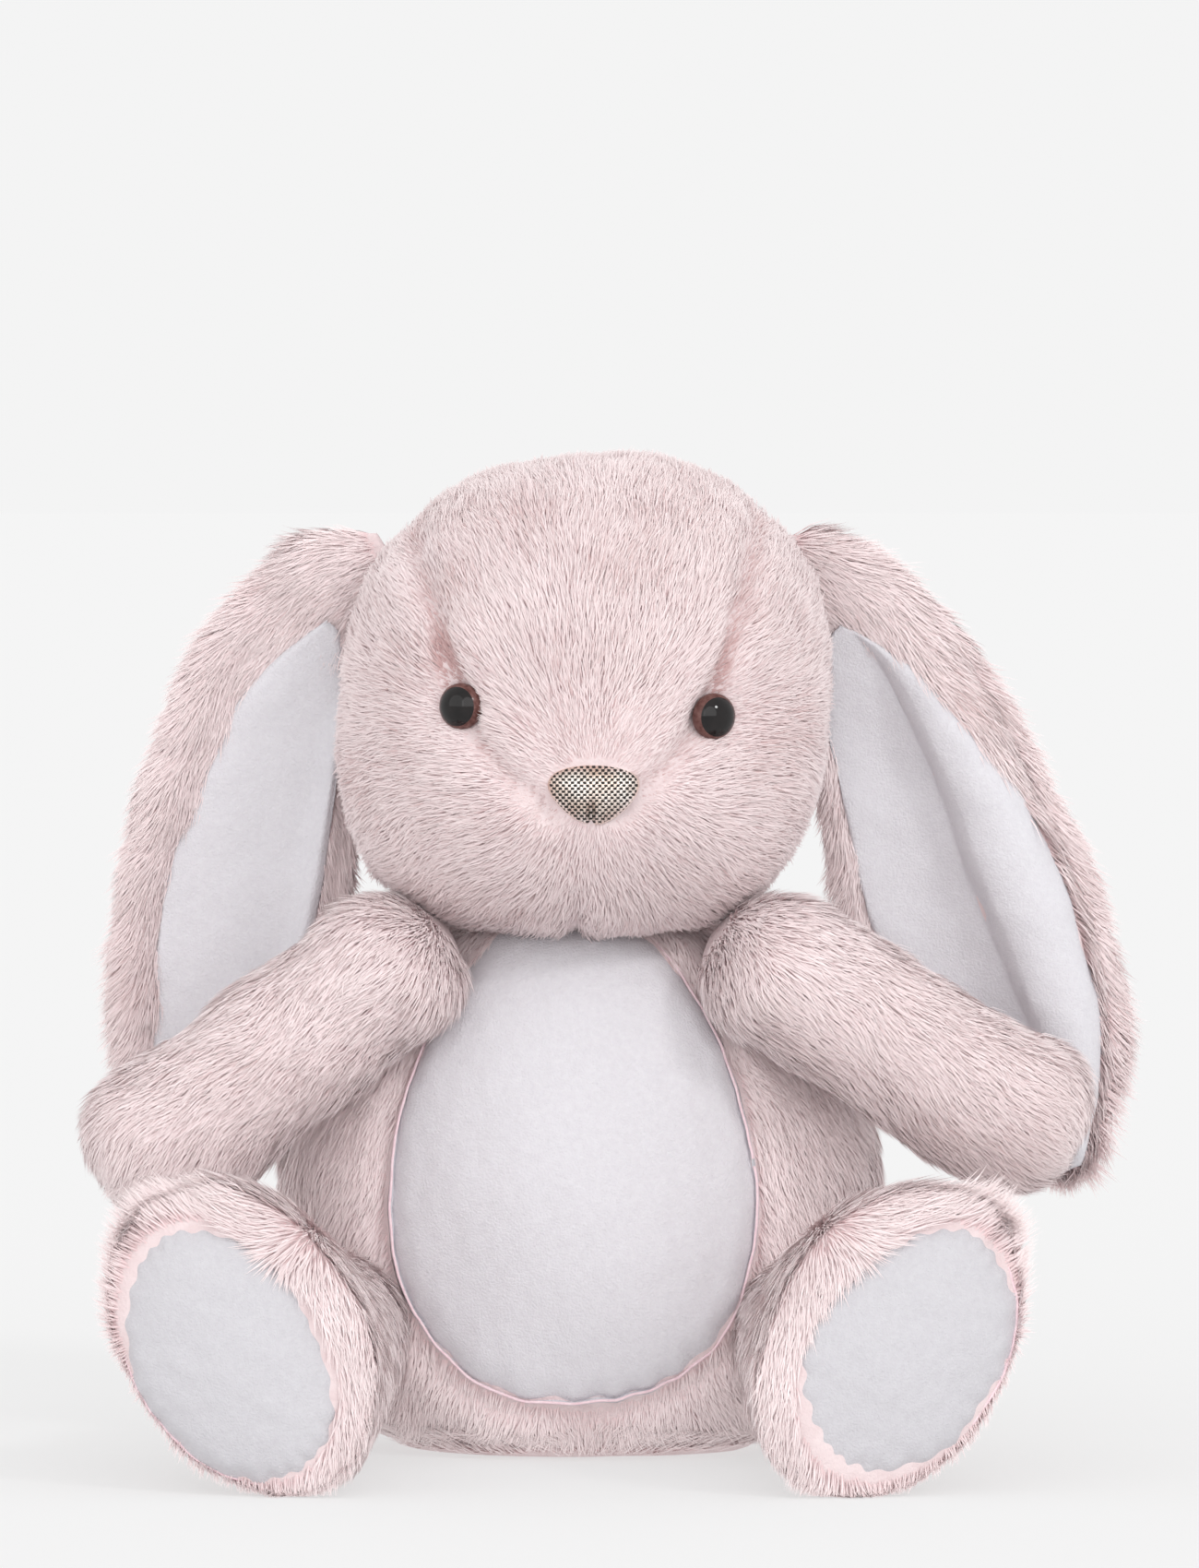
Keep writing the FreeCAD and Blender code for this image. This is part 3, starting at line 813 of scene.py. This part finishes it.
def shape_body():
    """The body's cloth, flat where it sits on the floor."""
    rows = egg_rows(BODY_CENTRE, BODY_HALF[0], BODY_HALF[1], BODY_UP, BODY_DOWN,
                    2.0, BODY_SQUARENESS, EGG_RINGS, EGG_AROUND)
    skin = skin_from_rows(rows)
    under_tummy = ramp(0.97 - tummy_radius(skin.points), 0, 0.04) * (skin.points[:, 1] < 0)
    skin.swell(body_swell(skin.points) - 1.5 * under_tummy)
    skin.points[:, 2] = np.maximum(skin.points[:, 2], FLOOR_GAP)
    skin.settle()
    return skin


def body_comb(points, normals):
    """Down the body and a little outward from the tummy."""
    lay = np.tile(-UP, (len(points), 1))
    lay[:, 0] += 0.35 * np.sign(points[:, 0]) * ramp(np.abs(points[:, 0]), 5, 40)
    low = ramp(14 - points[:, 2], 0, 12)[:, None]
    return lay * (1 - 0.75 * low) + unit(points * np.array([1, 1, 0])) * low


def make_body():
    """The stuffed body, its pile and the tummy panel."""
    skin = shape_body()
    plush_skin("body_skin", skin, "torso", 0.8, "body_side_panel_left", "body_side_panel_right",
               "body_back_panel_left", "body_back_panel_right", "seat_panel", "body_stuffing",
               "seat_bean_bag")

    def shown(points, normals):
        under_head = points[:, 2] > 130
        on_tummy = (tummy_radius(points) < 0.965) & (points[:, 1] < 0)
        seat = normals[:, 2] < -0.8
        return (~under_head & ~on_tummy & ~seat) * 1.0

    def length(points):
        return 8.0 - 2.5 * hill(tummy_radius(points), 1.0, 0.12) * (points[:, 1] < 0)

    # the front of the torso gets much paler pile: painted light that lifts the shade beside the arms
    # and legs
    fur("body_front_pile", "torso", skin, STRANDS["body_front"], length, body_comb,
        lambda p, n: shown(p, n) * (p[:, 1] < 2), 21, tint=lambda p: paler_tone_and_painted_light(p) + 0.30)
    fur("body_back_pile", "torso", skin, STRANDS["body_back"], length, body_comb,
        lambda p, n: shown(p, n) * (p[:, 1] >= 2), 22, tint=paler_tone_and_painted_light)
    make_tummy()


def front_y(x, z):
    """The body's plain front surface at X and Z, by the same egg as shape_body."""
    level = (z - BODY_CENTRE[2]) / np.where(z > BODY_CENTRE[2], BODY_UP, BODY_DOWN)
    power = np.where(level > 0, 2.0, BODY_SQUARENESS)
    width = np.clip(1 - np.abs(level) ** power, 1e-4, 1) ** (1 / power)
    sideways = np.clip((x - BODY_CENTRE[0]) / (width * BODY_HALF[0]), -0.999, 0.999)
    return BODY_CENTRE[1] - np.sqrt(1 - sideways ** 2) * width * BODY_HALF[1]


def make_tummy():
    """The velour egg, crowned by the stuffing and puckered along its seam."""
    around, count = 220, 60
    angle = np.linspace(0, 2 * math.pi, around, endpoint=False)
    radii = 1 - np.linspace(0, 1, count) ** 1.3 * 0.985
    v = radii[:, None] * np.sin(angle)
    u = radii[:, None] * np.cos(angle)
    x = TUMMY_CENTRE[0] + u * TUMMY_HALF[0] * (1 - TUMMY_EGG * v)
    z = TUMMY_CENTRE[1] + v * TUMMY_HALF[1]
    z = np.minimum(z, TUMMY_TOP)
    rows = np.stack([x, front_y(x, z), z], axis=2)
    skin = sheet_facing(FORWARD, disc_from_rows, rows, VELOUR_THICKNESS)
    p = skin.points
    edge = tummy_radius(p)
    swell = body_swell(p) + 1.5 * ramp(1 - edge, 0, 0.16) - 0.8
    turn = np.arctan2(p[:, 2] - TUMMY_CENTRE[1], p[:, 0] - TUMMY_CENTRE[0])
    pucker = np.sin(turn * 34 + 2 * np.sin(turn * 5)) * hill(1 - edge, 0.06, 0.07)
    swell = swell + (0.12 + 0.35 * ramp(-p[:, 2], -45, -15)) * pucker
    swell = swell + 0.35 * waves(p, 17, 31) + 0.12 * waves(p, 4, 32)
    skin.swell_as_one(swell)
    velour_pad("tummy_velour", skin, VELOUR, "torso", "tummy_panel")
    rim = skin.points[:around]
    thread_loop("tummy_seam", rim[rim[:, 2] < 128], "torso", False)


def thread_loop(name, path, body, closed):
    """A seam's thread, laid along a path."""
    curve = bpy.data.curves.new(name, "CURVE")
    curve.dimensions = "3D"
    curve.bevel_depth = THREAD_RADIUS * MM
    curve.bevel_resolution = 2
    spline = curve.splines.new("POLY")
    spline.points.add(len(path) - 1)
    for point, place in zip(spline.points, path):
        point.co = (*(place * MM), 1)
    spline.use_cyclic_u = closed
    curve.materials.append(THREAD)
    piece = add_object(name, curve)
    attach(piece, body)


def make_tail():
    """A round stuffed tail."""
    low, high = box_of("tail_cover")
    centre = (low + high) / 2
    half = (high - low) / 2
    rows = egg_rows(centre, half[0], half[1], half[2], half[2], 2, 2, 40, 60)
    skin = skin_from_rows(rows)
    plush_skin("tail_skin", skin, "torso", 0.8, "tail_cover", "tail_stuffing")
    fur("tail_pile", "torso", skin, STRANDS["tail"], lambda p: np.full(len(p), 10.0),
        lambda p, n: -UP + 0.6 * unit(p - centre), lambda p, n: (p[:, 1] > centre[1] - 12) * 1.0,
        41, lift=0.6)


# -------- arms

def make_arm(side):
    """A stuffed arm, from its round end in the shoulder to the hand, and its pile."""
    sign = SIDES[side]
    body = "arm_" + side
    shoulder, _ = joint_named("arm_%s_lift" % side)
    low, high = box_of("arm_front_panel_" + side, "arm_back_panel_" + side)
    end_x = (low[0] + 16.0) if sign < 0 else (high[0] - 16.0)
    hand = np.array([end_x, low[1] + HAND_RADIUS, low[2] + HAND_RADIUS])
    direction = unit(hand - shoulder)
    length = np.linalg.norm(hand - shoulder)
    first = unit(np.cross(np.array([0.0, 1.0, 0.0]), direction))
    second = np.cross(direction, first)
    stations = []
    # along the arm, radius, and how far the middle is set back into the body
    for angle in np.linspace(-math.pi / 2 + 0.05, 0, 16, endpoint=False):
        sink = ROOT_SINK * (1 - math.cos(angle))
        stations.append((ARM_RADIUS * math.sin(angle), ARM_RADIUS * math.cos(angle), sink))
    for place in np.linspace(0, 1, 50, endpoint=False):
        waist = ARM_RADIUS + (ARM_WAIST - ARM_RADIUS) * math.sin(math.pi * place)
        stations.append((place * length, waist + (HAND_RADIUS - ARM_RADIUS) * place, 0.0))
    for angle in np.linspace(0, math.pi / 2 - 0.05, 22):
        radius = HAND_RADIUS * math.cos(angle) ** 0.85
        stations.append((length + HAND_DOME * math.sin(angle), radius, 0.0))
    angle = np.linspace(0, 2 * math.pi, ARM_AROUND, endpoint=False)
    ring = np.cos(angle)[:, None] * first + np.sin(angle)[:, None] * second
    rows = np.array([shoulder + direction * along + ring * radius - FORWARD * sink
                     for along, radius, sink in stations])
    skin = skin_from_rows(rows)
    skin.swell(0.9 * waves(skin.points, 22, 51 + sign))
    plush_skin("arm_%s_skin" % side, skin, body, 0.8, "arm_front_panel_" + side,
               "arm_back_panel_" + side, "arm_stuffing_" + side)

    def lay(points, normals):
        return np.tile(direction - 0.35 * UP + 0.15 * np.array([sign, 0, 0]), (len(points), 1))

    # paler pile at the arm's round end by the body: painted light that lifts the shade there
    def arm_root_painted_light(points):
        return paler_tone_and_painted_light(points) + 0.25 * ramp(-(points - shoulder) @ direction, -14, 10)

    fur("arm_%s_pile" % side, body, skin, STRANDS["arm"], lambda p: np.full(len(p), 7.5), lay,
        lambda p, n: ((p - shoulder) @ direction > -17) * 1.0, 60 + sign, tint=arm_root_painted_light)


# -------- legs

def leg_axes(side):
    """The hip, the direction to the sole, the sole's width and length directions, its centre."""
    sign = SIDES[side]
    hip, axis = joint_named("leg_%s_lift" % side)
    direction = unit(np.cross(UP, axis))
    level = np.cross(UP, direction)
    roll = -math.radians(FOOT_ROLL) * sign
    across = level * math.cos(roll) + UP * math.sin(roll)
    along = np.cross(direction, across)
    low, high = box_of("foot_pad_" + side)
    middle = (low + high) / 2
    sole = hip + direction * ((middle - hip) @ direction + 2.0)
    sole[2] = middle[2]
    return hip, direction, across, along, sole


def make_leg(side):
    """A stuffed leg, from its round end in the hip to the foot, with its pile and its sole."""
    sign = SIDES[side]
    body = "leg_" + side
    hip, direction, across, along, sole = leg_axes(side)
    if along[2] < 0:
        along = -along
        across = -across
    length = (sole - hip) @ direction
    rise = sole[2] - hip[2]
    angle = np.linspace(0, 2 * math.pi, LEG_AROUND, endpoint=False)
    ring = np.cos(angle)[:, None] * across + np.sin(angle)[:, None] * along
    rows = []
    for tilt in np.linspace(-math.pi / 2 + 0.05, 0, 16, endpoint=False):
        rows.append(hip + direction * HIP_RADIUS * math.sin(tilt) + ring * HIP_RADIUS * math.cos(tilt))
    for place in np.linspace(0, 1, 50, endpoint=False):
        flare = float(ramp(np.array(place), 0.28, 0.92))
        centre = hip + direction * (place * length) + UP * (rise * flare)
        wide = HIP_RADIUS + (FOOT_HALF[0] - HIP_RADIUS) * flare
        tall = HIP_RADIUS + (FOOT_HALF[1] - HIP_RADIUS) * flare
        rows.append(centre + np.cos(angle)[:, None] * across * wide
                    + np.sin(angle)[:, None] * along * tall)
    for tilt in np.linspace(0, math.pi / 2 - 0.05, 26):
        spread = 0.12 * math.cos(tilt) + 0.88 * math.cos(tilt) ** 0.6
        centre = sole + direction * 4.0 * math.sin(tilt)
        rows.append(centre + np.cos(angle)[:, None] * across * FOOT_HALF[0] * spread
                    + np.sin(angle)[:, None] * along * FOOT_HALF[1] * spread)
    skin = skin_from_rows(np.array(rows))
    thigh = slice(16 * LEG_AROUND, 20 * LEG_AROUND)
    if (skin.normals[thigh] * (skin.points[thigh] - hip)).sum() < 0:
        skin = skin_from_rows(np.array(rows)[:, ::-1])
    skin.swell(0.8 * waves(skin.points, 24, 71 + sign))
    skin.points[:, 2] = np.maximum(skin.points[:, 2], FLOOR_GAP)
    skin.settle()
    plush_skin("leg_%s_skin" % side, skin, body, 0.85, "leg_inner_panel_" + side,
               "leg_outer_panel_" + side, "leg_stuffing_" + side)

    pad_middle = sole_pad_middle(side, across, sole)
    outer = (pad_middle - sole) / SOLE_PAD_OUT

    def pad_radius(points):
        offset = points - pad_middle
        return np.hypot((offset @ across) / SOLE_PAD_HALF[0], (offset @ along) / SOLE_PAD_HALF[1])

    def ahead(points):
        return (points - sole) @ direction

    def lay(points, normals):
        offset = points - sole
        radial = offset - (offset @ direction)[:, None] * direction
        rim = ramp(ahead(points), -26, 0)[:, None]
        toes = ramp(radial @ along, 5, 30)[:, None]
        down = -UP * (0.85 - 0.25 * rim)
        spread = unit(radial) * rim * 0.35 + outer * 0.2
        return direction * 0.35 + (down + spread) * (1 - toes) + (along + outer * 0.4) * toes * 0.8

    def reach(points):
        radial = (points - sole) @ along
        outside = ramp((points - sole) @ outer, 5, 22) * ramp(ahead(points), -10, -2)
        return (7.5 + 3.5 * ramp(radial, 8, 32) * ramp(ahead(points), -30, -4)) * (1 - 0.35 * outside)

    def shown(points, normals):
        on_pad = (pad_radius(points) < 0.95) & (ahead(points) > -1)
        root = (points - hip) @ direction > -22
        return (~on_pad & root) * 1.0

    # paler pile on the foot and its rim: painted light that lifts the shade there
    def foot_rim_painted_light(points):
        return paler_tone_and_painted_light(points) + 0.16 * ramp(ahead(points), -30, -4)

    fur("leg_%s_pile" % side, body, skin, STRANDS["leg"], reach, lay, shown, 80 + sign,
        lift=0.20, tint=foot_rim_painted_light)
    make_sole(side, across, along, direction, pad_middle)


def sole_pad_middle(side, across, sole):
    """The pad's middle, a little towards the outer side of the foot."""
    outward = SIDES[side] * np.sign(across[0])
    return sole + across * outward * SOLE_PAD_OUT


def make_sole(side, across, along, direction, sole):
    """The velour sole, crowned and puckered at its seam."""
    around, count = 180, 46
    angle = np.linspace(0, 2 * math.pi, around, endpoint=False)
    radii = 1 - np.linspace(0, 1, count) ** 1.25 * 0.985
    rows = np.empty((count, around, 3))
    for index, radius in enumerate(radii):
        crown = 2.0 + SOLE_CROWN * (1 - radius ** 2.4) - 1.6 * hill(radius, 1.0, 0.09)
        pucker = np.sin(angle * 26 + 1.7 * np.sin(angle * 4)) * hill(1 - radius, 0.08, 0.09)
        height = crown + 0.35 * pucker
        rows[index] = (sole + across * (np.cos(angle) * radius * SOLE_PAD_HALF[0])[:, None]
                       + along * (np.sin(angle) * radius * SOLE_PAD_HALF[1])[:, None]
                       + direction * height[:, None])
    skin = sheet_facing(direction, disc_from_rows, rows, VELOUR_THICKNESS)
    skin.swell_as_one(0.5 * waves(skin.points, 15, 91 + SIDES[side]) + 0.12 * waves(skin.points, 4, 93))
    velour_pad("foot_%s_sole" % side, skin, SHADED_SOLE_VELOUR, "leg_" + side, "foot_pad_" + side)
    thread_loop("foot_%s_seam" % side, skin.points[:around], "leg_" + side, True)


# -------- ears

def ear_fold(side, s, t):
    """How far the ear's cloth stands behind its plane, along and across the ear."""
    fade = ramp(s, 0.10, 0.35) * (1 - ramp(s, 0.90, 1.0))
    if side == "left":
        outward = -t
        cup = 4.5 * np.clip(1 - (outward - 0.1) ** 2, 0, 1)
        strip = -3.5 * hill(outward, -0.72, 0.12)
        return fade * (cup + strip - 3.0 * hill(outward, 0.85, 0.2))
    cup = 4.5 * np.clip(1 - ((t + 0.35) / 0.55) ** 2, 0, 1)
    roll = -7.5 * np.sqrt(np.clip(1 - ((t - 0.47) / 0.37) ** 2, 0, 1))
    return fade * (cup + roll)


def ear_points(side, s, t, height):
    """Places on the ear: s from root to tip, t from -1 to 1 along +X, height in front of its plane."""
    sign = SIDES[side]
    root, _ = joint_named("ear_%s_lift" % side)
    table = [(sign * x, z, half) for x, z, half in EAR_MIDLINE[side]]
    last = np.array(table[-1])
    onward = unit(last[:2] - np.array(table[-2])[:2]) * last[2]
    table.append((last[0] + onward[0], last[1] + onward[1], last[2] * 0.6))
    places = s * (len(table) - 1)
    rows = smooth_path(table, places)
    ahead = smooth_path(table, np.minimum(places + 0.05, len(table) - 1))
    back = smooth_path(table, np.maximum(places - 0.05, 0))
    line = unit((ahead - back)[:, :2])
    across = np.stack([-line[:, 1], line[:, 0]], axis=1)
    half = rows[:, 2] * np.sqrt(np.clip(1 - np.clip((s - 0.86) / 0.14, 0, 1) ** 2, 0.0005, 1))
    x = rows[:, 0, None] + across[:, 0, None] * half[:, None] * t
    z = rows[:, 1, None] + across[:, 1, None] * half[:, None] * t
    y = root[1] - height + ear_fold(side, np.repeat(s[:, None], t.shape[1], axis=1), t)
    return np.stack([x, y, z], axis=2)


def make_ear(side):
    """The plush back of an ear, its pile and its lining."""
    body = "ear_" + side
    count, around = 90, 96
    s = np.linspace(0, 1, count)
    angle = np.linspace(0, 2 * math.pi, around, endpoint=False)
    t = np.tile(np.cos(angle), (count, 1))
    thick = EAR_HALF_THICKNESS * (0.35 + 0.65 * np.sqrt(np.clip(1 - s ** 6, 0, 1)))[:, None]
    height = np.where(np.sin(angle) > 0, -thick * np.abs(np.sin(angle)) ** 0.8,
                      0.30 * thick * np.abs(np.sin(angle)) ** 0.6)
    rows = ear_points(side, s, t, height)
    skin = skin_from_rows(rows)
    back = np.sin(angle) > 0.5
    facing = skin.normals[:count * around].reshape(count, around, 3)[20:60, back].mean((0, 1))
    if facing[1] < 0:
        skin = skin_from_rows(rows[:, ::-1])
    skin.swell(0.5 * waves(skin.points, 16, 101))
    plush_skin("ear_%s_back_skin" % side, skin, body, 0.15, "ear_back_" + side)
    make_lining(side)

    sign = SIDES[side]
    middle = ear_points(side, s, np.zeros((count, 1)), np.zeros((count, 1)))[:, 0]
    edges = ear_points(side, s, np.full((count, 1), sign * 1.0), np.zeros((count, 1)))[:, 0] - middle
    edges[:, 1] = 0
    half = np.linalg.norm(edges, axis=1)

    def where(points):
        """Places from root to tip, outward from -1 to 1 across, and offsets from the midline."""
        gap = np.hypot(points[:, None, 0] - middle[None, :, 0],
                       points[:, None, 2] - middle[None, :, 2])
        nearest = gap.argmin(1)
        offset = points - middle[nearest]
        return s[nearest], (offset * edges[nearest]).sum(1) / half[nearest] ** 2, offset

    def lay(points, normals):
        at, out, offset = where(points)
        index = np.clip((at * (count - 1)).astype(int), 1, count - 2)
        line = unit(middle[index + 1] - middle[index - 1])
        offset[:, 1] = 0
        return line + unit(offset) * (0.75 * np.clip(np.abs(out), 0, 1.2) ** 2)[:, None] - UP * 0.15

    def shown(points, normals):
        at, out, _ = where(points)
        edge = np.interp(at, *LINING_OUT[side]) - 0.05
        lined = (out < edge) & (out > 0.05 - LINING_IN) & (at > 0.17) & (at < 0.955)
        lined &= normals[:, 1] < 0
        return (~lined & (at > 0.03)) * np.where(normals[:, 1] < 0, 1.5, 1.0)

    def reach(points):
        _, out, _ = where(points)
        return 7.0 + 3.0 * ramp(out, 0.3, 0.9)

    fur("ear_%s_pile" % side, body, skin, STRANDS["ear"], reach, lay, shown, 110 + sign)


def make_lining(side):
    """The velour inside of the ear."""
    count, wide = 110, 90
    s = 0.15 + 0.82 * np.linspace(0, 1, count)
    spread = np.linspace(-1, 1, wide)
    neck = np.sqrt(np.clip(1 - (np.clip(0.30 - s, 0, 1) / 0.15) ** 2, 0.05, 1))
    out = np.interp(s, *LINING_OUT[side])[:, None] * np.clip(spread, 0, 1)
    out = out + LINING_IN * np.clip(spread, -1, 0)
    t = SIDES[side] * out * neck[:, None]
    height = np.full((count, wide), 0.55 * EAR_HALF_THICKNESS + 1.2)
    height -= 1.6 * np.abs(spread)[None, :] ** 8
    rows = ear_points(side, s, t, height)
    skin = sheet_facing(FORWARD, plate_from_rows, rows, LINING_THICKNESS)
    skin.swell_as_one(0.35 * waves(skin.points, 12, 121) + 0.12 * waves(skin.points, 4, 122))
    velour_pad("ear_%s_lining_velour" % side, skin, VELOUR, "ear_" + side, "ear_lining_" + side)


# -------- stage, light and camera

PAPER = 0.904             # the linear grey of the plain surround
# each lamp's strength, height above the horizon, turn to the right and width, in degrees
SUNS = [("key", 0.60, 32, 42, 10), ("front", 1.00, 9, 8, 60), ("left", 0.55, 10, -45, 60)]
FLOOR_GLOW = 0.6          # of the floor's white, to keep the shadows on it faint
FLOOR_REACH = 60.0        # metres
LENS = 200                # millimetres, as is the sensor
SENSOR = 36
FRAME_HEIGHT = 0.378      # metres that the frame shows at the target
CAMERA_TARGET = Vector((0.0044, -0.040, 0.1649))
CAMERA_TILT = 2.0         # degrees down


def make_stage():
    """The pale surround, the lamps and the floor."""
    sky = bpy.data.worlds.new("surround")
    bpy.context.scene.world = sky
    sky.use_nodes = True
    background = sky.node_tree.nodes["Background"]
    background.inputs["Color"].default_value = (PAPER, PAPER, PAPER, 1)
    background.inputs["Strength"].default_value = 1.0
    on_floor = PAPER
    for name, power, height, turn, width in SUNS:
        lamp = bpy.data.lights.new(name, "SUN")
        lamp.energy = power
        lamp.angle = math.radians(width)
        holder = add_object(name, lamp)
        holder.rotation_euler = (math.radians(90 - height), 0, math.radians(turn))
        on_floor += power * math.sin(math.radians(height)) / math.pi
    glow = FLOOR_GLOW * PAPER
    shade = (PAPER - glow) / on_floor
    mesh = bpy.data.meshes.new("floor")
    signs = [(-1, -1), (1, -1), (1, 1), (-1, 1)]
    mesh.from_pydata([(x * FLOOR_REACH, y * FLOOR_REACH, 0) for x, y in signs], [], [(0, 1, 2, 3)])
    material, _, _, shader = new_material("floor_paper", (shade, shade, shade), 1.0)
    shader.inputs["Specular IOR Level"].default_value = 0.0
    shader.inputs["Emission Color"].default_value = (1, 1, 1, 1)
    shader.inputs["Emission Strength"].default_value = glow
    mesh.materials.append(material)
    floor = add_object("floor", mesh)


def make_camera():
    """The camera looks at the toy from the front and a little down."""
    camera = bpy.data.cameras.new("camera")
    camera.lens = LENS
    camera.sensor_width = SENSOR
    distance = camera.lens / camera.sensor_width * FRAME_HEIGHT
    tilt = math.radians(CAMERA_TILT)
    holder = add_object("camera", camera)
    holder.location = CAMERA_TARGET + Vector((0, -math.cos(tilt), math.sin(tilt))) * distance
    holder.rotation_euler = (math.pi / 2 - tilt, 0, 0)
    bpy.context.scene.camera = holder
    bpy.context.scene.view_settings.view_transform = "Standard"


def dress_washer(side):
    """The lock washer keeps its CAD shape and gets its plastic."""
    materials = frame["nodes"]["eye_washer_" + side].data.materials
    materials.clear()
    materials.append(washer_plastic())


make_stage()
make_camera()
make_nose(make_head())
make_body()
make_tail()
for name in SIDES:
    make_eye(name)
    make_arm(name)
    make_leg(name)
    make_ear(name)
    dress_washer(name)
